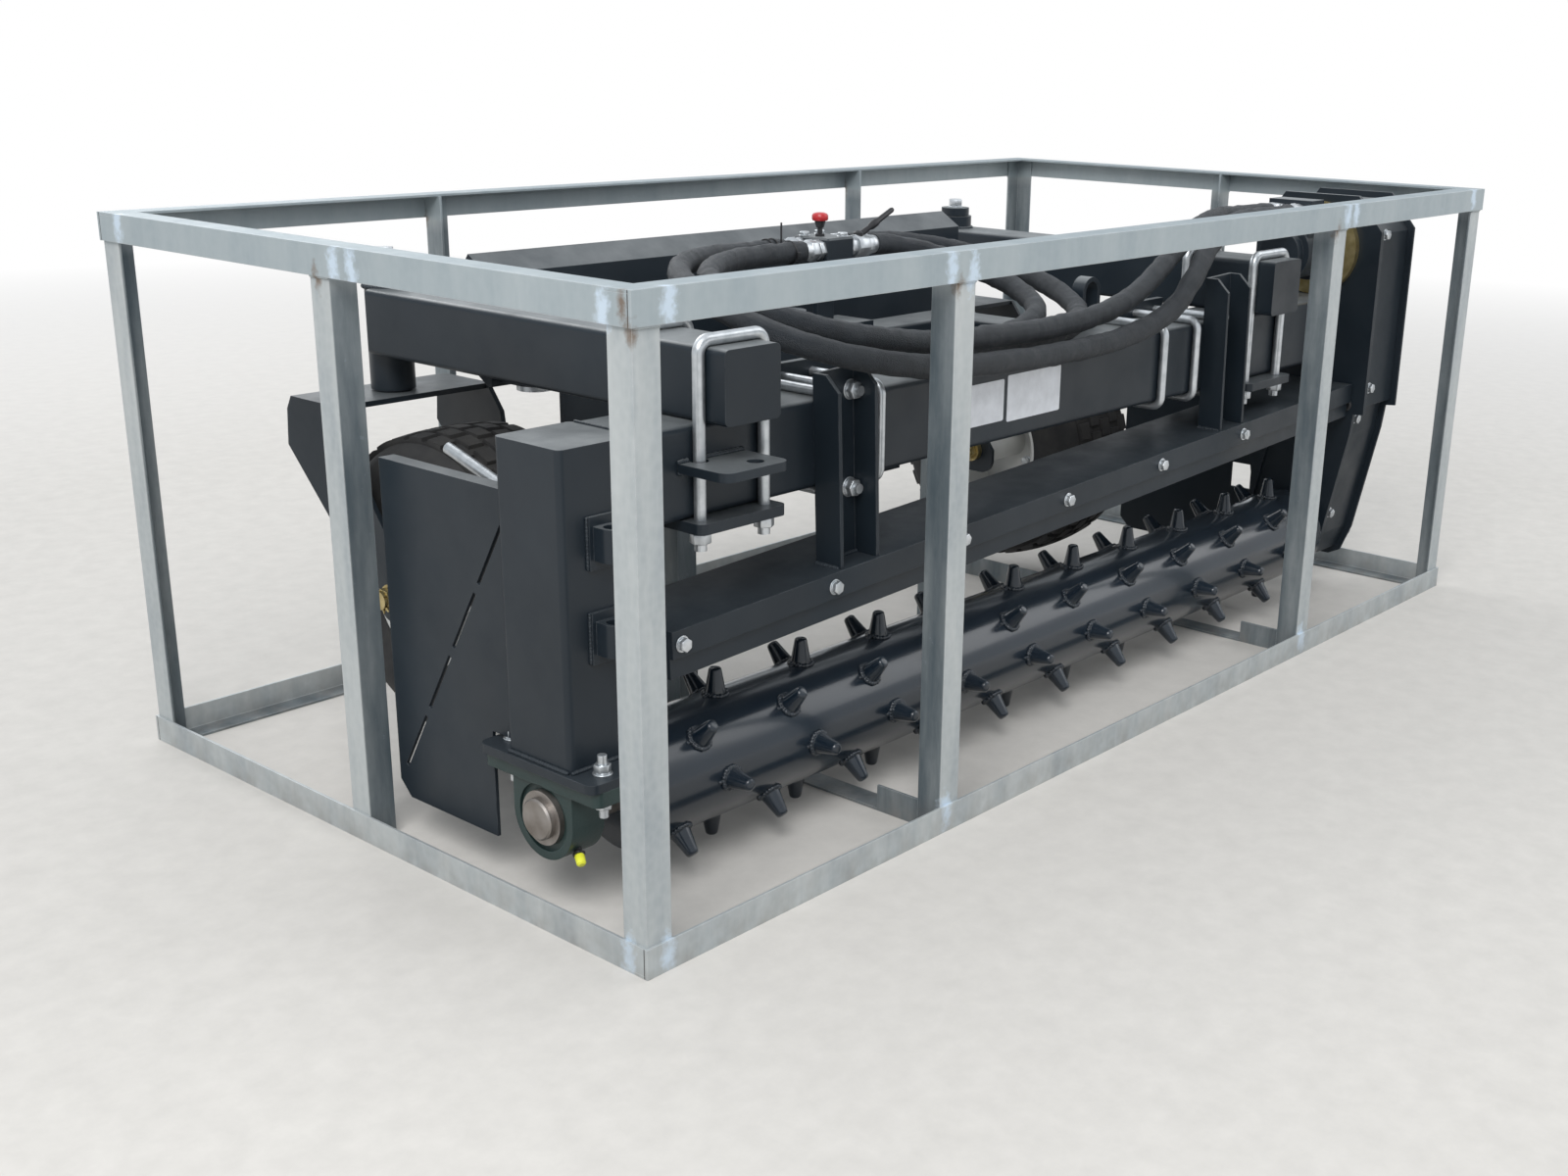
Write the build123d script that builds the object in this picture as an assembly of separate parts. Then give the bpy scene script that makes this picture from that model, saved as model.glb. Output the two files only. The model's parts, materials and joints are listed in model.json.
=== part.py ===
"""Power rake for a skid steer loader, lying in the angle-steel crate it is shipped in.

Millimetres. X runs along the drum towards the drive end, -Y is the working side, +Y is the hitch side,
Z is up and the floor under the crate is z = 0.
"""
import math
import os
from build123d import *

os.makedirs("parts", exist_ok=True)

# Clearances
seat_gap = 0.3         # between pieces of one body that rest on each other with curved faces
run_gap = 0.05         # radial, of shafts and pins that turn
side_gap = 1.0         # along the axis, beside hubs and collars

# Crate of galvanised equal angle
crate_length = 2230.0
crate_width = 1126.0
crate_height = 810.0
angle_leg = 40.0
angle_wall = 4.0
crossbar_x = (-556.0, 499.0)
side_post_y = -3.0
notch_half = 105.0     # half width of the gap that each crossbar's upright leg leaves the drum
stand_x = (-516.0, 140.0)
stand_y = 5.0
stand_head_t = 6.0

# Main beam, left column and end plate
beam_size = 120.0
beam_wall = 6.0
beam_corner = 9.0
beam_front_y = -400.0
beam_top_z = 609.0
column_left_x = -1085.0
column_foot_z = 207.0
end_plate_x = 862.0
end_plate_t = 10.0

# Drum
drum_radius = 84.0
drum_wall = 8.0
drum_end_t = 12.0
drum_right_gap = 20.0
drum_left_gap = 6.0
drum_axis_y = -338.5
drum_axis_z = 131.5
shaft_radius = 27.5
stud_height = 38.0
stud_base_r = 15.0
stud_tip_r = 8.0
stud_weld = 3.0
stud_pitch = 171.0

# Left bearing
bearing_length = 219.0
bearing_width = 60.0
bearing_foot_t = 20.0
bearing_body_r = 56.0
bearing_plate_t = 12.0
bearing_plate_width = 112.0
insert_radius = 36.0

# Scraper barrier
barrier_tilt = 2.3
barrier_front_y = -450.0
barrier_depth = 140.0
barrier_z = 371.0
barrier_t = 6.0
lip_height = 36.0
strip_height = 58.0
bracket_x = (-603.0, 400.0)
bracket_width = 80.0
bracket_depth = 45.0
bracket_height = 262.0
bracket_tie_x = (-585.0, 385.0)
tie_r = 7.0

# Gauge wheel arms and casters
arm_x = (-812.0, 556.0)
arm_width = 98.0
arm_height = 95.0
arm_wall = 5.0
arm_corner = 8.0
arm_front_y = -446.0
spindle_y = 310.0
spindle_r = 20.0
sleeve_r = 33.0
sleeve_top_z = 728.0
sleeve_foot_z = 552.0
fork_width = 276.0
fork_t = 8.0
fork_corner = 26.0
fork_top_z = 549.0
axle_y = 137.0
axle_z = 289.0
axle_r = 12.5
tyre_r = 228.5
tyre_width = 205.0
rim_r = 104.0
hub_r = 30.0
ubolt_r = 8.0
clamp_plate_t = 14.0

# Hitch
hitch_x = -154.0
pivot_y = 110.0
pivot_r = 20.0
frame_ubolt_r = 7.0
frame_ubolt_x = (-628.0, -522.0, 215.0, 320.0)
frame_plate_t = 12.0
frame_plate_x = ((-710.0, -430.0), (122.0, 411.0))
frame_plate_over = 26.0        # height of the clamp plates above and below the beam
guide_x = 180.0
guide_half = 26.0
guide_t = 8.0
guide_width = 24.0
guide_rise = 55.0
side_tube_offset = 320.0
frame_tube = 80.0
frame_tube_wall = 5.0
cross_y = (-20.0, 60.0)
cross_z = (520.0, 600.0)
tongue_t = 16.0
quick_y = 190.0
quick_t = 10.0
quick_half = 567.5
quick_foot_half = 430.0
quick_step_z = 556.0
quick_foot_z = 282.0
quick_top_z = 724.0
quick_slot_x = 340.0
quick_corner = 26.0
window_half = 170.0
window_z = (335.0, 465.0)
foot_half = 64.0
foot_reach = 48.0
wedge_slot = 56.0

# Valve block and hoses
valve_x = (hitch_x - 64, hitch_x)
valve_y = (-36.0, 40.0)
valve_z0 = 700.0
valve_height = 60.0
stand_t = 10.0
hose_r = 17.0
port_z = valve_z0 + 42
inner_port_y = -19.0
outer_port_y = 23.0
motor_port_gap = 42.0
coupler_r = 17.5
coupler_z = beam_top_z + coupler_r + 0.5
supply_end_x = -322.0
supply_y = -373.0
drain_end_x = -258.0
drain_y = -336.0

# Angle cylinder
cylinder_x = -680.0
cylinder_z = 590.0
cylinder_base_y = -235.0
cylinder_eye_y = 140.0
cylinder_r = 25.0
cylinder_pin_r = 10.0
cylinder_eye_r = 22.0
cylinder_eye_h = 30.0
ear_t = 12.0
eye_drift = 8.0        # room that the rod's pin has in the hitch's ears

# Chain case and motor
case_right_x = 1005.0
cover_t = 5.0
case_wall = 4.0
case_inset = 12.0
motor_y = -345.0
motor_z = 698.0
motor_flange_r = 88.0
motor_flange_t = 14.0
motor_port_back = 87.0
motor_port_rise = 74.0


# Helpers
def block(x0, x1, y0, y1, z0, z1):
    return Pos((x0 + x1) / 2, (y0 + y1) / 2, (z0 + z1) / 2) * Box(x1 - x0, y1 - y0, z1 - z0)


def rod_x(r, x0, x1, y, z):
    return Pos((x0 + x1) / 2, y, z) * Rot(0, 90, 0) * Cylinder(r, x1 - x0)


def rod_y(r, y0, y1, x, z):
    return Pos(x, (y0 + y1) / 2, z) * Rot(90, 0, 0) * Cylinder(r, y1 - y0)


def rod_z(r, z0, z1, x, y):
    return Pos(x, y, (z0 + z1) / 2) * Cylinder(r, z1 - z0)


def plate_yz(points, x0, x1):
    """Plate square to X, from its outline in (y, z)."""
    face = make_face(Polyline(*[(x0, y, z) for y, z in points], close=True))
    return extrude(face, amount=x1 - x0, dir=(1, 0, 0))


def plate_xz(points, y0, y1):
    """Plate square to Y, from its outline in (x, z)."""
    face = make_face(Polyline(*[(x, y0, z) for x, z in points], close=True))
    return extrude(face, amount=y1 - y0, dir=(0, 1, 0))


def square_tube(x0, x1, y0, y1, z0, z1, axis, wall, corner):
    """Rectangular tube along the axis, with round outer edges."""
    outer = fillet(block(x0, x1, y0, y1, z0, z1).edges().filter_by(axis), corner)
    trim = [0.0 if abs(d) > 0.5 else wall for d in tuple(axis.direction)]
    reach = [1.0 if abs(d) > 0.5 else 0.0 for d in tuple(axis.direction)]
    grow = [r - t for r, t in zip(reach, trim)]
    inner = block(x0 - grow[0], x1 + grow[0], y0 - grow[1], y1 + grow[1], z0 - grow[2], z1 + grow[2])
    return outer - inner


def angle_post(x, y, sx, sy, z0, z1):
    """Upright equal angle with its outer corner at (x, y) and its legs running towards sx and sy."""
    def leg_between(a, b):
        return min(a, b), max(a, b)

    x_long, x_thin = leg_between(x, x + sx * angle_leg), leg_between(x, x + sx * angle_wall)
    y_long, y_thin = leg_between(y, y + sy * angle_leg), leg_between(y, y + sy * angle_wall)
    return block(*x_long, *y_thin, z0, z1) + block(*x_thin, *y_long, z0, z1)


def round_bar(points, bend, r):
    """Round bar along straight runs joined by equal bends."""
    path = FilletPolyline(*points, radius=bend)
    return sweep(Plane(origin=path @ 0, z_dir=path % 0) * Circle(r), path=path)


def cord_tube(name, points, r):
    """Hose through the points, each arc as large as its two runs allow; prints the arcs' radii."""
    pts = [Vector(*p) for p in points]
    radii = []
    for before, here, after in zip(pts, pts[1:], pts[2:]):
        a, b = here - before, after - here
        turn = math.radians(a.get_angle(b))
        radii.append(0.45 * min(a.length, b.length) / math.tan(turn / 2))
    path = FilletPolyline(*points, radius=radii)
    tube = sweep(Plane(origin=path @ 0, z_dir=path % 0) * Circle(r), path=path)
    print(name, "radii", [round(v) for v in radii], "length", round(path.length), "volume", round(tube.volume),
          "section x length", round(math.pi * r * r * path.length))
    return tube


def save(name, *shapes):
    solids = [solid for shape in shapes for solid in shape.solids()]
    export_step(solids[0] if len(solids) == 1 else Compound(children=solids), "parts/" + name + ".step")


# Crate
hx, hy = crate_length / 2, crate_width / 2
leg, wall = angle_leg, angle_wall
ix, iy = hx - wall, hy - wall            # inner faces of the upright legs


def long_rail(side, foot, flat_foot):
    """Rail along X: upright leg on the outside, flat leg inwards."""
    y0, y1 = sorted((side * hy, side * (hy - leg)))
    u0, u1 = sorted((side * hy, side * iy))
    return block(-hx, hx, y0, y1, flat_foot, flat_foot + wall) + block(-hx, hx, u0, u1, foot, foot + leg)


def end_rail(side, foot, flat_foot):
    """Rail along Y that butts between the long rails."""
    x0, x1 = sorted((side * hx, side * (hx - leg)))
    u0, u1 = sorted((side * hx, side * ix))
    low, high = (foot + wall, foot + leg) if foot == flat_foot else (foot, foot + leg - wall)
    return block(x0, x1, -hy + leg, hy - leg, flat_foot, flat_foot + wall) + block(u0, u1, -iy, iy, low, high)


rail_table = [  # foot of the upright leg, foot of the flat leg
    (0.0, 0.0), (crate_height - leg, crate_height - wall),
]
save("crate_long_rails", *[long_rail(side, foot, flat) for foot, flat in rail_table for side in (-1, 1)])
save("crate_end_rails", *[end_rail(side, foot, flat) for foot, flat in rail_table for side in (-1, 1)])

post_table = [  # corner x, corner y, way of the leg along X, way of the leg along Y
    (-ix, -iy, 1, 1), (-ix, iy, 1, -1), (ix, -iy, -1, 1), (ix, iy, -1, -1),
    (crossbar_x[0], -iy, 1, 1), (crossbar_x[1], -iy, 1, 1),
    (crossbar_x[0], iy, 1, -1), (crossbar_x[1], iy, 1, -1),
    (-ix, side_post_y, 1, 1), (ix, side_post_y, -1, 1),
]
save("crate_posts", *[angle_post(x, y, sx, sy, wall, crate_height - wall) for x, y, sx, sy in post_table])

crossbars = []
for x in crossbar_x:
    bar = block(x, x + leg, -hy + leg, hy - leg, 0, wall)
    bar += block(x, x + wall, leg - iy, iy - leg, wall, leg)
    bar -= block(x - 1, x + wall + 1, drum_axis_y - notch_half, drum_axis_y + notch_half, wall, leg + 1)
    crossbars.append(bar)
save("crate_crossbars", *crossbars)

# Two angle stands on a bar between the crossbars carry the machine under its hitch frame
bar_x0, bar_x1 = crossbar_x[0] + leg, crossbar_x[1]
stand_bar = block(bar_x0, bar_x1, stand_y, stand_y + leg, 0, wall)
stand_bar += block(bar_x0, bar_x1, stand_y, stand_y + wall, 0, leg)
stand_top = cross_z[0] - stand_head_t
for x in stand_x:
    stand_bar += angle_post(x, stand_y + wall, 1, 1, wall, stand_top)
    stand_bar += block(x, x + leg + 8, stand_y, stand_y + leg, stand_top, cross_z[0])
save("crate_stands", stand_bar)

# Beam and left column
beam_rear_y = beam_front_y + beam_size
beam_foot_z = beam_top_z - beam_size
column_right_x = column_left_x + beam_size
save("main_beam", square_tube(column_right_x, end_plate_x, beam_front_y, beam_rear_y, beam_foot_z, beam_top_z,
                              Axis.X, beam_wall, beam_corner))

column = square_tube(column_left_x, column_right_x, beam_front_y, beam_rear_y, column_foot_z, beam_top_z,
                     Axis.Z, beam_wall, beam_corner)
column += block(column_left_x + beam_wall / 2, column_right_x - beam_wall / 2, beam_front_y + beam_wall / 2,
                beam_rear_y - beam_wall / 2, beam_top_z - beam_wall, beam_top_z)
save("left_column", column)

loop_r, loop_hole_r, loop_height, pad_t = 16.0, 11.0, 42.0, 5.0
loop_x = column_left_x + 60.0
loop_z = (352.0, 470.0)
loops = []
for z in loop_z:
    pad = block(loop_x - 22, loop_x + 22, beam_front_y - pad_t, beam_front_y, z - 12, z + loop_height + 12)
    y = beam_front_y - pad_t - loop_r
    ring = rod_z(loop_r, z, z + loop_height, loop_x, y) + block(loop_x - loop_r, loop_x + loop_r, y,
                                                                beam_front_y - pad_t, z, z + loop_height)
    loops.append(pad + ring - rod_z(loop_hole_r, z - 1, z + loop_height + 1, loop_x, y))
save("column_loops", *loops)

# Left bearing with its plate
plate_foot_z = column_foot_z - bearing_plate_t
plate_half = bearing_length / 2
bearing_plate = block(column_left_x - 8, column_left_x - 8 + bearing_plate_width, drum_axis_y - plate_half,
                      drum_axis_y + plate_half, plate_foot_z, column_foot_z)
save("left_bearing_plate", fillet(bearing_plate.edges().filter_by(Axis.Z), 14))

bx0 = column_left_x
bx1 = bx0 + bearing_width
housing = block(bx0, bx1, drum_axis_y - plate_half, drum_axis_y + plate_half, plate_foot_z - bearing_foot_t,
                plate_foot_z)
housing = fillet(housing.edges().filter_by(Axis.Z), 12)
housing += rod_x(bearing_body_r, bx0 + 4, bx1 - 4, drum_axis_y, drum_axis_z)
housing += block(bx0 + 4, bx1 - 4, drum_axis_y - bearing_body_r, drum_axis_y + bearing_body_r, drum_axis_z,
                 plate_foot_z - bearing_foot_t / 2)
housing -= rod_x(insert_radius + run_gap, bx0 - 1, bx1 + 1, drum_axis_y, drum_axis_z)
housing -= rod_x(insert_radius + 9, bx0 - 1, bx0 + 9, drum_axis_y, drum_axis_z)
save("left_bearing_housing", housing)

# Drum with its studs and shaft
drum_left_x = column_right_x + drum_left_gap
drum_right_x = end_plate_x - drum_right_gap
case_x0 = end_plate_x + end_plate_t
shaft = rod_x(shaft_radius, column_left_x - 8, case_right_x - 25, drum_axis_y, drum_axis_z)
save("drum_shaft", chamfer(shaft.edges().filter_by(GeomType.CIRCLE), 2.5))

insert = rod_x(insert_radius, bx0 + 1, bx1 + 4, drum_axis_y, drum_axis_z)
save("bearing_insert", insert - rod_x(shaft_radius, bx0, bx1 + 5, drum_axis_y, drum_axis_z))

drum = rod_x(drum_radius, drum_left_x, drum_right_x, drum_axis_y, drum_axis_z)
drum -= rod_x(drum_radius - drum_wall, drum_left_x + drum_end_t, drum_right_x - drum_end_t, drum_axis_y,
              drum_axis_z)
drum -= rod_x(shaft_radius, drum_left_x - 1, drum_right_x + 1, drum_axis_y, drum_axis_z)
save("drum_tube", drum)

stud_table = [  # angle round the drum from the front upwards, way from the drum's left end to the row's first stud
    (0.0, 127.0), (45.0, 93.0), (90.0, 181.0), (135.0, 40.0),
    (180.0, 76.0), (225.0, 109.0), (270.0, 171.0), (315.0, 54.0),
]
base = Align.CENTER, Align.CENTER, Align.MIN
stud = Cone(stud_base_r, stud_tip_r, stud_height, align=base)
stud += Cone(stud_base_r + stud_weld, stud_base_r, 2 * stud_weld, align=base)
sink = drum_radius - math.sqrt(drum_radius ** 2 - (stud_base_r + stud_weld) ** 2)
stud += Pos(0, 0, -sink) * Cylinder(stud_base_r + stud_weld, sink, align=base)
seat = rod_x(drum_radius, -50, 50, 0, -drum_radius)
stud -= seat
studs = []
for angle, first in stud_table:
    a = math.radians(angle)
    way = Vector(0, -math.cos(a), math.sin(a))
    x = drum_left_x + first
    while x < drum_right_x - stud_base_r - 2 * stud_weld:
        foot = Vector(x, drum_axis_y, drum_axis_z) + way * drum_radius
        studs.append(Plane(origin=foot, x_dir=(1, 0, 0), z_dir=way) * stud)
        x += stud_pitch
save("drum_studs", *studs)

# End shields
shield_t, shield_top_z, shield_foot_z = 5.0, 537.0, 64.0
left_shield_x = column_left_x + 20.0
left_shield_rear_y = -14.0
shield_front_y = beam_rear_y + seat_gap
notch_y, notch_z = drum_axis_y + plate_half + 5, column_foot_z + 5
shield = plate_yz([(notch_y, shield_foot_z), (left_shield_rear_y - 22, shield_foot_z),
                   (left_shield_rear_y, shield_foot_z + 22), (left_shield_rear_y, shield_top_z),
                   (shield_front_y, shield_top_z), (shield_front_y, notch_z), (notch_y, notch_z)],
                  left_shield_x, left_shield_x + shield_t)
shield += block(left_shield_x, left_shield_x + 24, shield_front_y, left_shield_rear_y, shield_top_z - shield_t,
                shield_top_z)
slot_a = Vector(0, shield_front_y + 14, shield_top_z - 40)
slot_b = Vector(0, left_shield_rear_y - 14, shield_foot_z + 40)
slot_way = slot_b - slot_a
slot_turn = math.degrees(math.atan2(slot_way.Z, slot_way.Y))
slot_count, slot_bridge, slot_width = 4, 16.0, 6.0
for n in range(slot_count):
    mid = slot_a + slot_way * ((n + 0.5) / slot_count)
    cut = Box(shield_t * 3, slot_way.length / slot_count - slot_bridge, slot_width)
    shield -= Pos(left_shield_x + shield_t / 2, mid.Y, mid.Z) * Rot(slot_turn, 0, 0) * cut
save("left_end_shield", shield)

right_shield_rear_y = 60.0
shield_x1 = end_plate_x
right_shield = plate_yz([(shield_front_y, beam_foot_z - 1), (shield_front_y, 300), (-232, shield_foot_z),
                         (right_shield_rear_y - 22, shield_foot_z), (right_shield_rear_y, shield_foot_z + 22),
                         (right_shield_rear_y, shield_top_z), (shield_front_y, shield_top_z)],
                        shield_x1 - shield_t, shield_x1)
right_shield += block(shield_x1 - 24, shield_x1, shield_front_y, right_shield_rear_y, shield_top_z - shield_t,
                      shield_top_z)
right_shield -= block(shield_x1 - shield_t - 1, shield_x1 + 1, -247, -202, 198, 249)
save("right_end_shield", right_shield)

# Stay rod that leans back from the column over the left shield's edge
stay_x, stay_foot_z, stay_length, stay_lean, stay_r = column_right_x - 20.0, 476.0, 235.0, 16.6, 8.0
stay = rod_y(stay_r, -beam_wall, stay_length, 0, 0)
stay = Pos(stay_x, beam_rear_y, stay_foot_z) * Rot(stay_lean, 0, 0) * stay
save("shield_stay_rod", stay - block(stay_x - 2 * stay_r, stay_x + 2 * stay_r, beam_front_y, beam_rear_y,
                                     stay_foot_z - 4 * stay_r, stay_foot_z + 4 * stay_r))

# End plate, chain case and cover share one outline: front down, foot, rear up, sloping top corners
case_front = [(-476, 735), (-476, 385), (-456, 383), (-451, 337), (-410, 121), (-389, 67), (-365, 55)]
case_rear = [(-312, 55), (-288, 67), (-267, 121), (-214, 385), (-214, 722), (-268, 799), (-422, 799)]
case_outline = case_front + case_rear


def case_face(inset, x):
    face = make_face(Polyline(*[(x, y, z) for y, z in case_outline], close=True))
    return offset(face, -inset, kind=Kind.INTERSECTION) if inset else face


def case_plate(inset, x0, x1):
    return extrude(case_face(inset, x0), amount=x1 - x0, dir=(1, 0, 0))


end_plate = case_plate(0, end_plate_x, case_x0)
end_plate -= rod_x(shaft_radius + run_gap, end_plate_x - 1, case_x0 + 1, drum_axis_y, drum_axis_z)
save("right_end_plate", end_plate)

case = case_plate(case_inset, case_x0, case_right_x)
case -= case_plate(case_inset + case_wall, case_x0 + case_wall, case_right_x + 1)
case -= rod_x(shaft_radius + run_gap, case_x0 - 1, case_x0 + case_wall + 1, drum_axis_y, drum_axis_z)
save("chain_case", case)
save("chain_case_cover", case_plate(0, case_right_x, case_right_x + cover_t))

# Hydraulic motor on the end plate
flange_x0 = end_plate_x - motor_flange_t
save("motor_flange", rod_x(motor_flange_r, flange_x0, end_plate_x, motor_y, motor_z))
motor = rod_x(52, flange_x0 - 120, flange_x0, motor_y, motor_z)
motor += rod_x(60, flange_x0 - 22, flange_x0, motor_y, motor_z)
motor += rod_x(40, flange_x0 - 140, flange_x0 - 120, motor_y, motor_z)
motor_port_x = flange_x0 - motor_port_back
motor_port_z = motor_z + motor_port_rise
motor += block(motor_port_x - 25, motor_port_x + 25, motor_y - 44, motor_y + 44, motor_z, motor_port_z + 22)
save("hydraulic_motor", motor)

# Scraper barrier with its brackets
barrier_x0 = column_right_x + 5
barrier_x1 = end_plate_x - 6
swing = Pos(barrier_x0, 0, barrier_z) * Rot(0, -barrier_tilt, 0) * Pos(-barrier_x0, 0, -barrier_z)
lean = math.tan(math.radians(barrier_tilt))
barrier = block(barrier_x0, barrier_x1, barrier_front_y, barrier_front_y + barrier_depth, barrier_z - barrier_t,
                barrier_z)
barrier += block(barrier_x0, barrier_x1, barrier_front_y, barrier_front_y + barrier_t, barrier_z - lip_height,
                 barrier_z)
save("barrier_plate", swing * barrier)
strip_y = barrier_front_y + barrier_t
strip = block(barrier_x0, barrier_x1 - 2, strip_y, strip_y + barrier_t, barrier_z - barrier_t - strip_height,
              barrier_z - barrier_t)
save("barrier_strip", swing * strip)

tie_z = (beam_top_z + tie_r + seat_gap, beam_foot_z - tie_r - seat_gap)
frame_rear_y = beam_rear_y + frame_plate_t
ties = [rod_y(tie_r, beam_front_y - 26, frame_rear_y + 20, x, z) for x in bracket_tie_x for z in tie_z]
save("bracket_tie_rods", *ties)

frame_bend = beam_corner + seat_gap + frame_ubolt_r
web_t = 6.0
frame_bolts = []
for x in frame_ubolt_x:
    over_bracket = any(abs(x - at) < bracket_width / 2 for at in bracket_x)
    y0 = beam_front_y - frame_ubolt_r - seat_gap - (web_t if over_bracket else 0.0)
    y1 = frame_rear_y + 24
    z0, z1 = beam_foot_z - frame_ubolt_r - seat_gap, beam_top_z + frame_ubolt_r + seat_gap
    route = [(x, y1, z1), (x, y0, z1), (x, y0, z0), (x, y1, z0)]
    frame_bolts.append(round_bar(route, frame_bend, frame_ubolt_r))
save("frame_ubolts", *frame_bolts)

brackets = []
front = beam_front_y - bracket_depth
web_y = beam_front_y - web_t
top = barrier_z + bracket_height
for x in bracket_x:
    x0, x1 = x - bracket_width / 2, x + bracket_width / 2
    channel = block(x0, x1, web_y, beam_front_y, barrier_z, top)
    side = [(front, barrier_z), (web_y, barrier_z), (web_y, top), (front + 22, top), (front, top - 22)]
    channel = swing * (channel + plate_yz(side, x0, x0 + web_t) + plate_yz(side, x1 - web_t, x1))
    for bar in ties + frame_bolts:
        channel -= bar
    brackets.append(channel)
save("barrier_brackets", *brackets)

# Gauge wheel arms, their sleeves, U-bolts and clamp plates
arm_rear_y = spindle_y - 14
sleeves = []
for side, x in zip(("left", "right"), arm_x):
    x0, x1 = x - arm_width / 2, x + arm_width / 2
    arm = square_tube(x0, x1, arm_front_y, arm_rear_y, beam_top_z, beam_top_z + arm_height, Axis.Y, arm_wall,
                      arm_corner)
    for y in (arm_front_y, arm_rear_y - arm_wall):
        arm += block(x0 + arm_wall / 2, x1 - arm_wall / 2, y, y + arm_wall, beam_top_z + arm_wall / 2,
                     beam_top_z + arm_height - arm_wall / 2)
    save(side + "_arm", arm - rod_z(sleeve_r, sleeve_foot_z, sleeve_top_z, x, spindle_y))
    sleeve = rod_z(sleeve_r, sleeve_foot_z, sleeve_top_z, x, spindle_y)
    sleeves.append(sleeve - rod_z(spindle_r + run_gap, sleeve_foot_z - 1, sleeve_top_z + 1, x, spindle_y))
save("caster_sleeves", *sleeves)

leg_offset = arm_width / 2 + seat_gap + ubolt_r
ubolt_bend = arm_corner + seat_gap + ubolt_r
ubolt_y = (beam_front_y - ubolt_r - seat_gap, beam_rear_y + ubolt_r + seat_gap)
clamp_z0 = beam_foot_z - clamp_plate_t
ubolts, clamps = [], []
for x in arm_x:
    clamp = block(x - 78, x + 78, beam_front_y - 32, beam_rear_y + 32, clamp_z0, beam_foot_z)
    clamp = fillet(clamp.edges().filter_by(Axis.Z), 12)
    for y in ubolt_y:
        low, high = clamp_z0 - 26, beam_top_z + arm_height + ubolt_r + seat_gap
        ubolts.append(round_bar([(x - leg_offset, y, low), (x - leg_offset, y, high), (x + leg_offset, y, high),
                                 (x + leg_offset, y, low)], ubolt_bend, ubolt_r))
        for offset_x in (-leg_offset, leg_offset):
            clamp -= rod_z(ubolt_r, clamp_z0 - 1, beam_foot_z + 1, x + offset_x, y)
    clamps.append(clamp)
save("arm_ubolts", *ubolts)
save("arm_clamp_plates", *clamps)

lug_z, lug_t, lug_hole_r = beam_top_z - 57, 12.0, 11.0
leg_x = arm_x[0] - leg_offset
lug = block(leg_x - 30, leg_x + 84, beam_front_y - 86, beam_front_y, lug_z, lug_z + lug_t)
lug = fillet(lug.edges().filter_by(Axis.Z).group_by(Axis.Y)[0], 16)
lug -= rod_z(ubolt_r + 4, lug_z - 1, lug_z + lug_t + 1, leg_x, ubolt_y[0])
lug_hole_x, lug_hole_y = leg_x + 48, beam_front_y - 58
lug -= rod_z(lug_hole_r, lug_z - 1, lug_z + lug_t + 1, lug_hole_x, lug_hole_y)
save("lug_plate", lug)

# Hitch frame behind the beam: clamp plates, side tubes, cross tube, pivot tongues, ears of the angle cylinder
side_tube_x = (hitch_x - side_tube_offset, hitch_x + side_tube_offset)
half_tube = frame_tube / 2
frame_plates = []
for (x0, x1), tube_x in zip(frame_plate_x, side_tube_x):
    plate = block(x0, x1, beam_rear_y, frame_rear_y, beam_foot_z - frame_plate_over,
                  beam_top_z + frame_plate_over)
    for bar in ties + frame_bolts:
        plate -= bar
    frame_plates.append(plate)
ear_z = (cylinder_z - cylinder_eye_h / 2 - seat_gap - ear_t, cylinder_z + cylinder_eye_h / 2 + seat_gap)
for z in ear_z:
    ear = block(cylinder_x - cylinder_eye_r, cylinder_x + cylinder_eye_r, frame_rear_y, cylinder_base_y, z,
                z + ear_t)
    ear += rod_z(cylinder_eye_r, z, z + ear_t, cylinder_x, cylinder_base_y)
    frame_plates[0] += ear - rod_z(cylinder_pin_r, z - 1, z + ear_t + 1, cylinder_x, cylinder_base_y)
save("hitch_frame_plates", *frame_plates)

# Hose guide: a flat bar bent into a hoop on the right clamp plate's upper edge
guide_foot_z = beam_top_z + frame_plate_over


def hoop(half, y0, y1):
    bend_z = guide_foot_z + guide_rise - guide_half
    legs = block(guide_x - half, guide_x + half, y0, y1, guide_foot_z, bend_z)
    return legs + rod_y(half, y0, y1, guide_x, bend_z)


guide_y1 = beam_rear_y + guide_width
guide = hoop(guide_half, beam_rear_y, guide_y1) - hoop(guide_half - guide_t, beam_rear_y - 1, guide_y1 + 1)
save("guide_hoop", guide)

side_tubes = [square_tube(x - half_tube, x + half_tube, frame_rear_y, cross_y[0], *cross_z, Axis.Y, frame_tube_wall,
                          6) for x in side_tube_x]
save("hitch_side_tubes", *side_tubes)
cross_tube = square_tube(side_tube_x[0] - half_tube, side_tube_x[1] + half_tube, *cross_y, *cross_z, Axis.X,
                         frame_tube_wall, 6)
save("hitch_cross_tube", cross_tube)

tongue_half, tongue_r = 70.0, 45.0
tongue_z = (cross_z[0] - tongue_t, cross_z[1])
tongues = []
for z in tongue_z:
    tongue = plate_yz([(cross_y[0], z), (pivot_y, z), (pivot_y, z + tongue_t), (cross_y[0], z + tongue_t)],
                      hitch_x - tongue_r, hitch_x + tongue_r)
    tongue += block(hitch_x - tongue_half, hitch_x + tongue_half, cross_y[0], cross_y[1], z, z + tongue_t)
    tongue += rod_z(tongue_r, z, z + tongue_t, hitch_x, pivot_y)
    tongues.append(tongue - rod_z(pivot_r, z - 1, z + tongue_t + 1, hitch_x, pivot_y))
save("hitch_tongues", *tongues)

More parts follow.
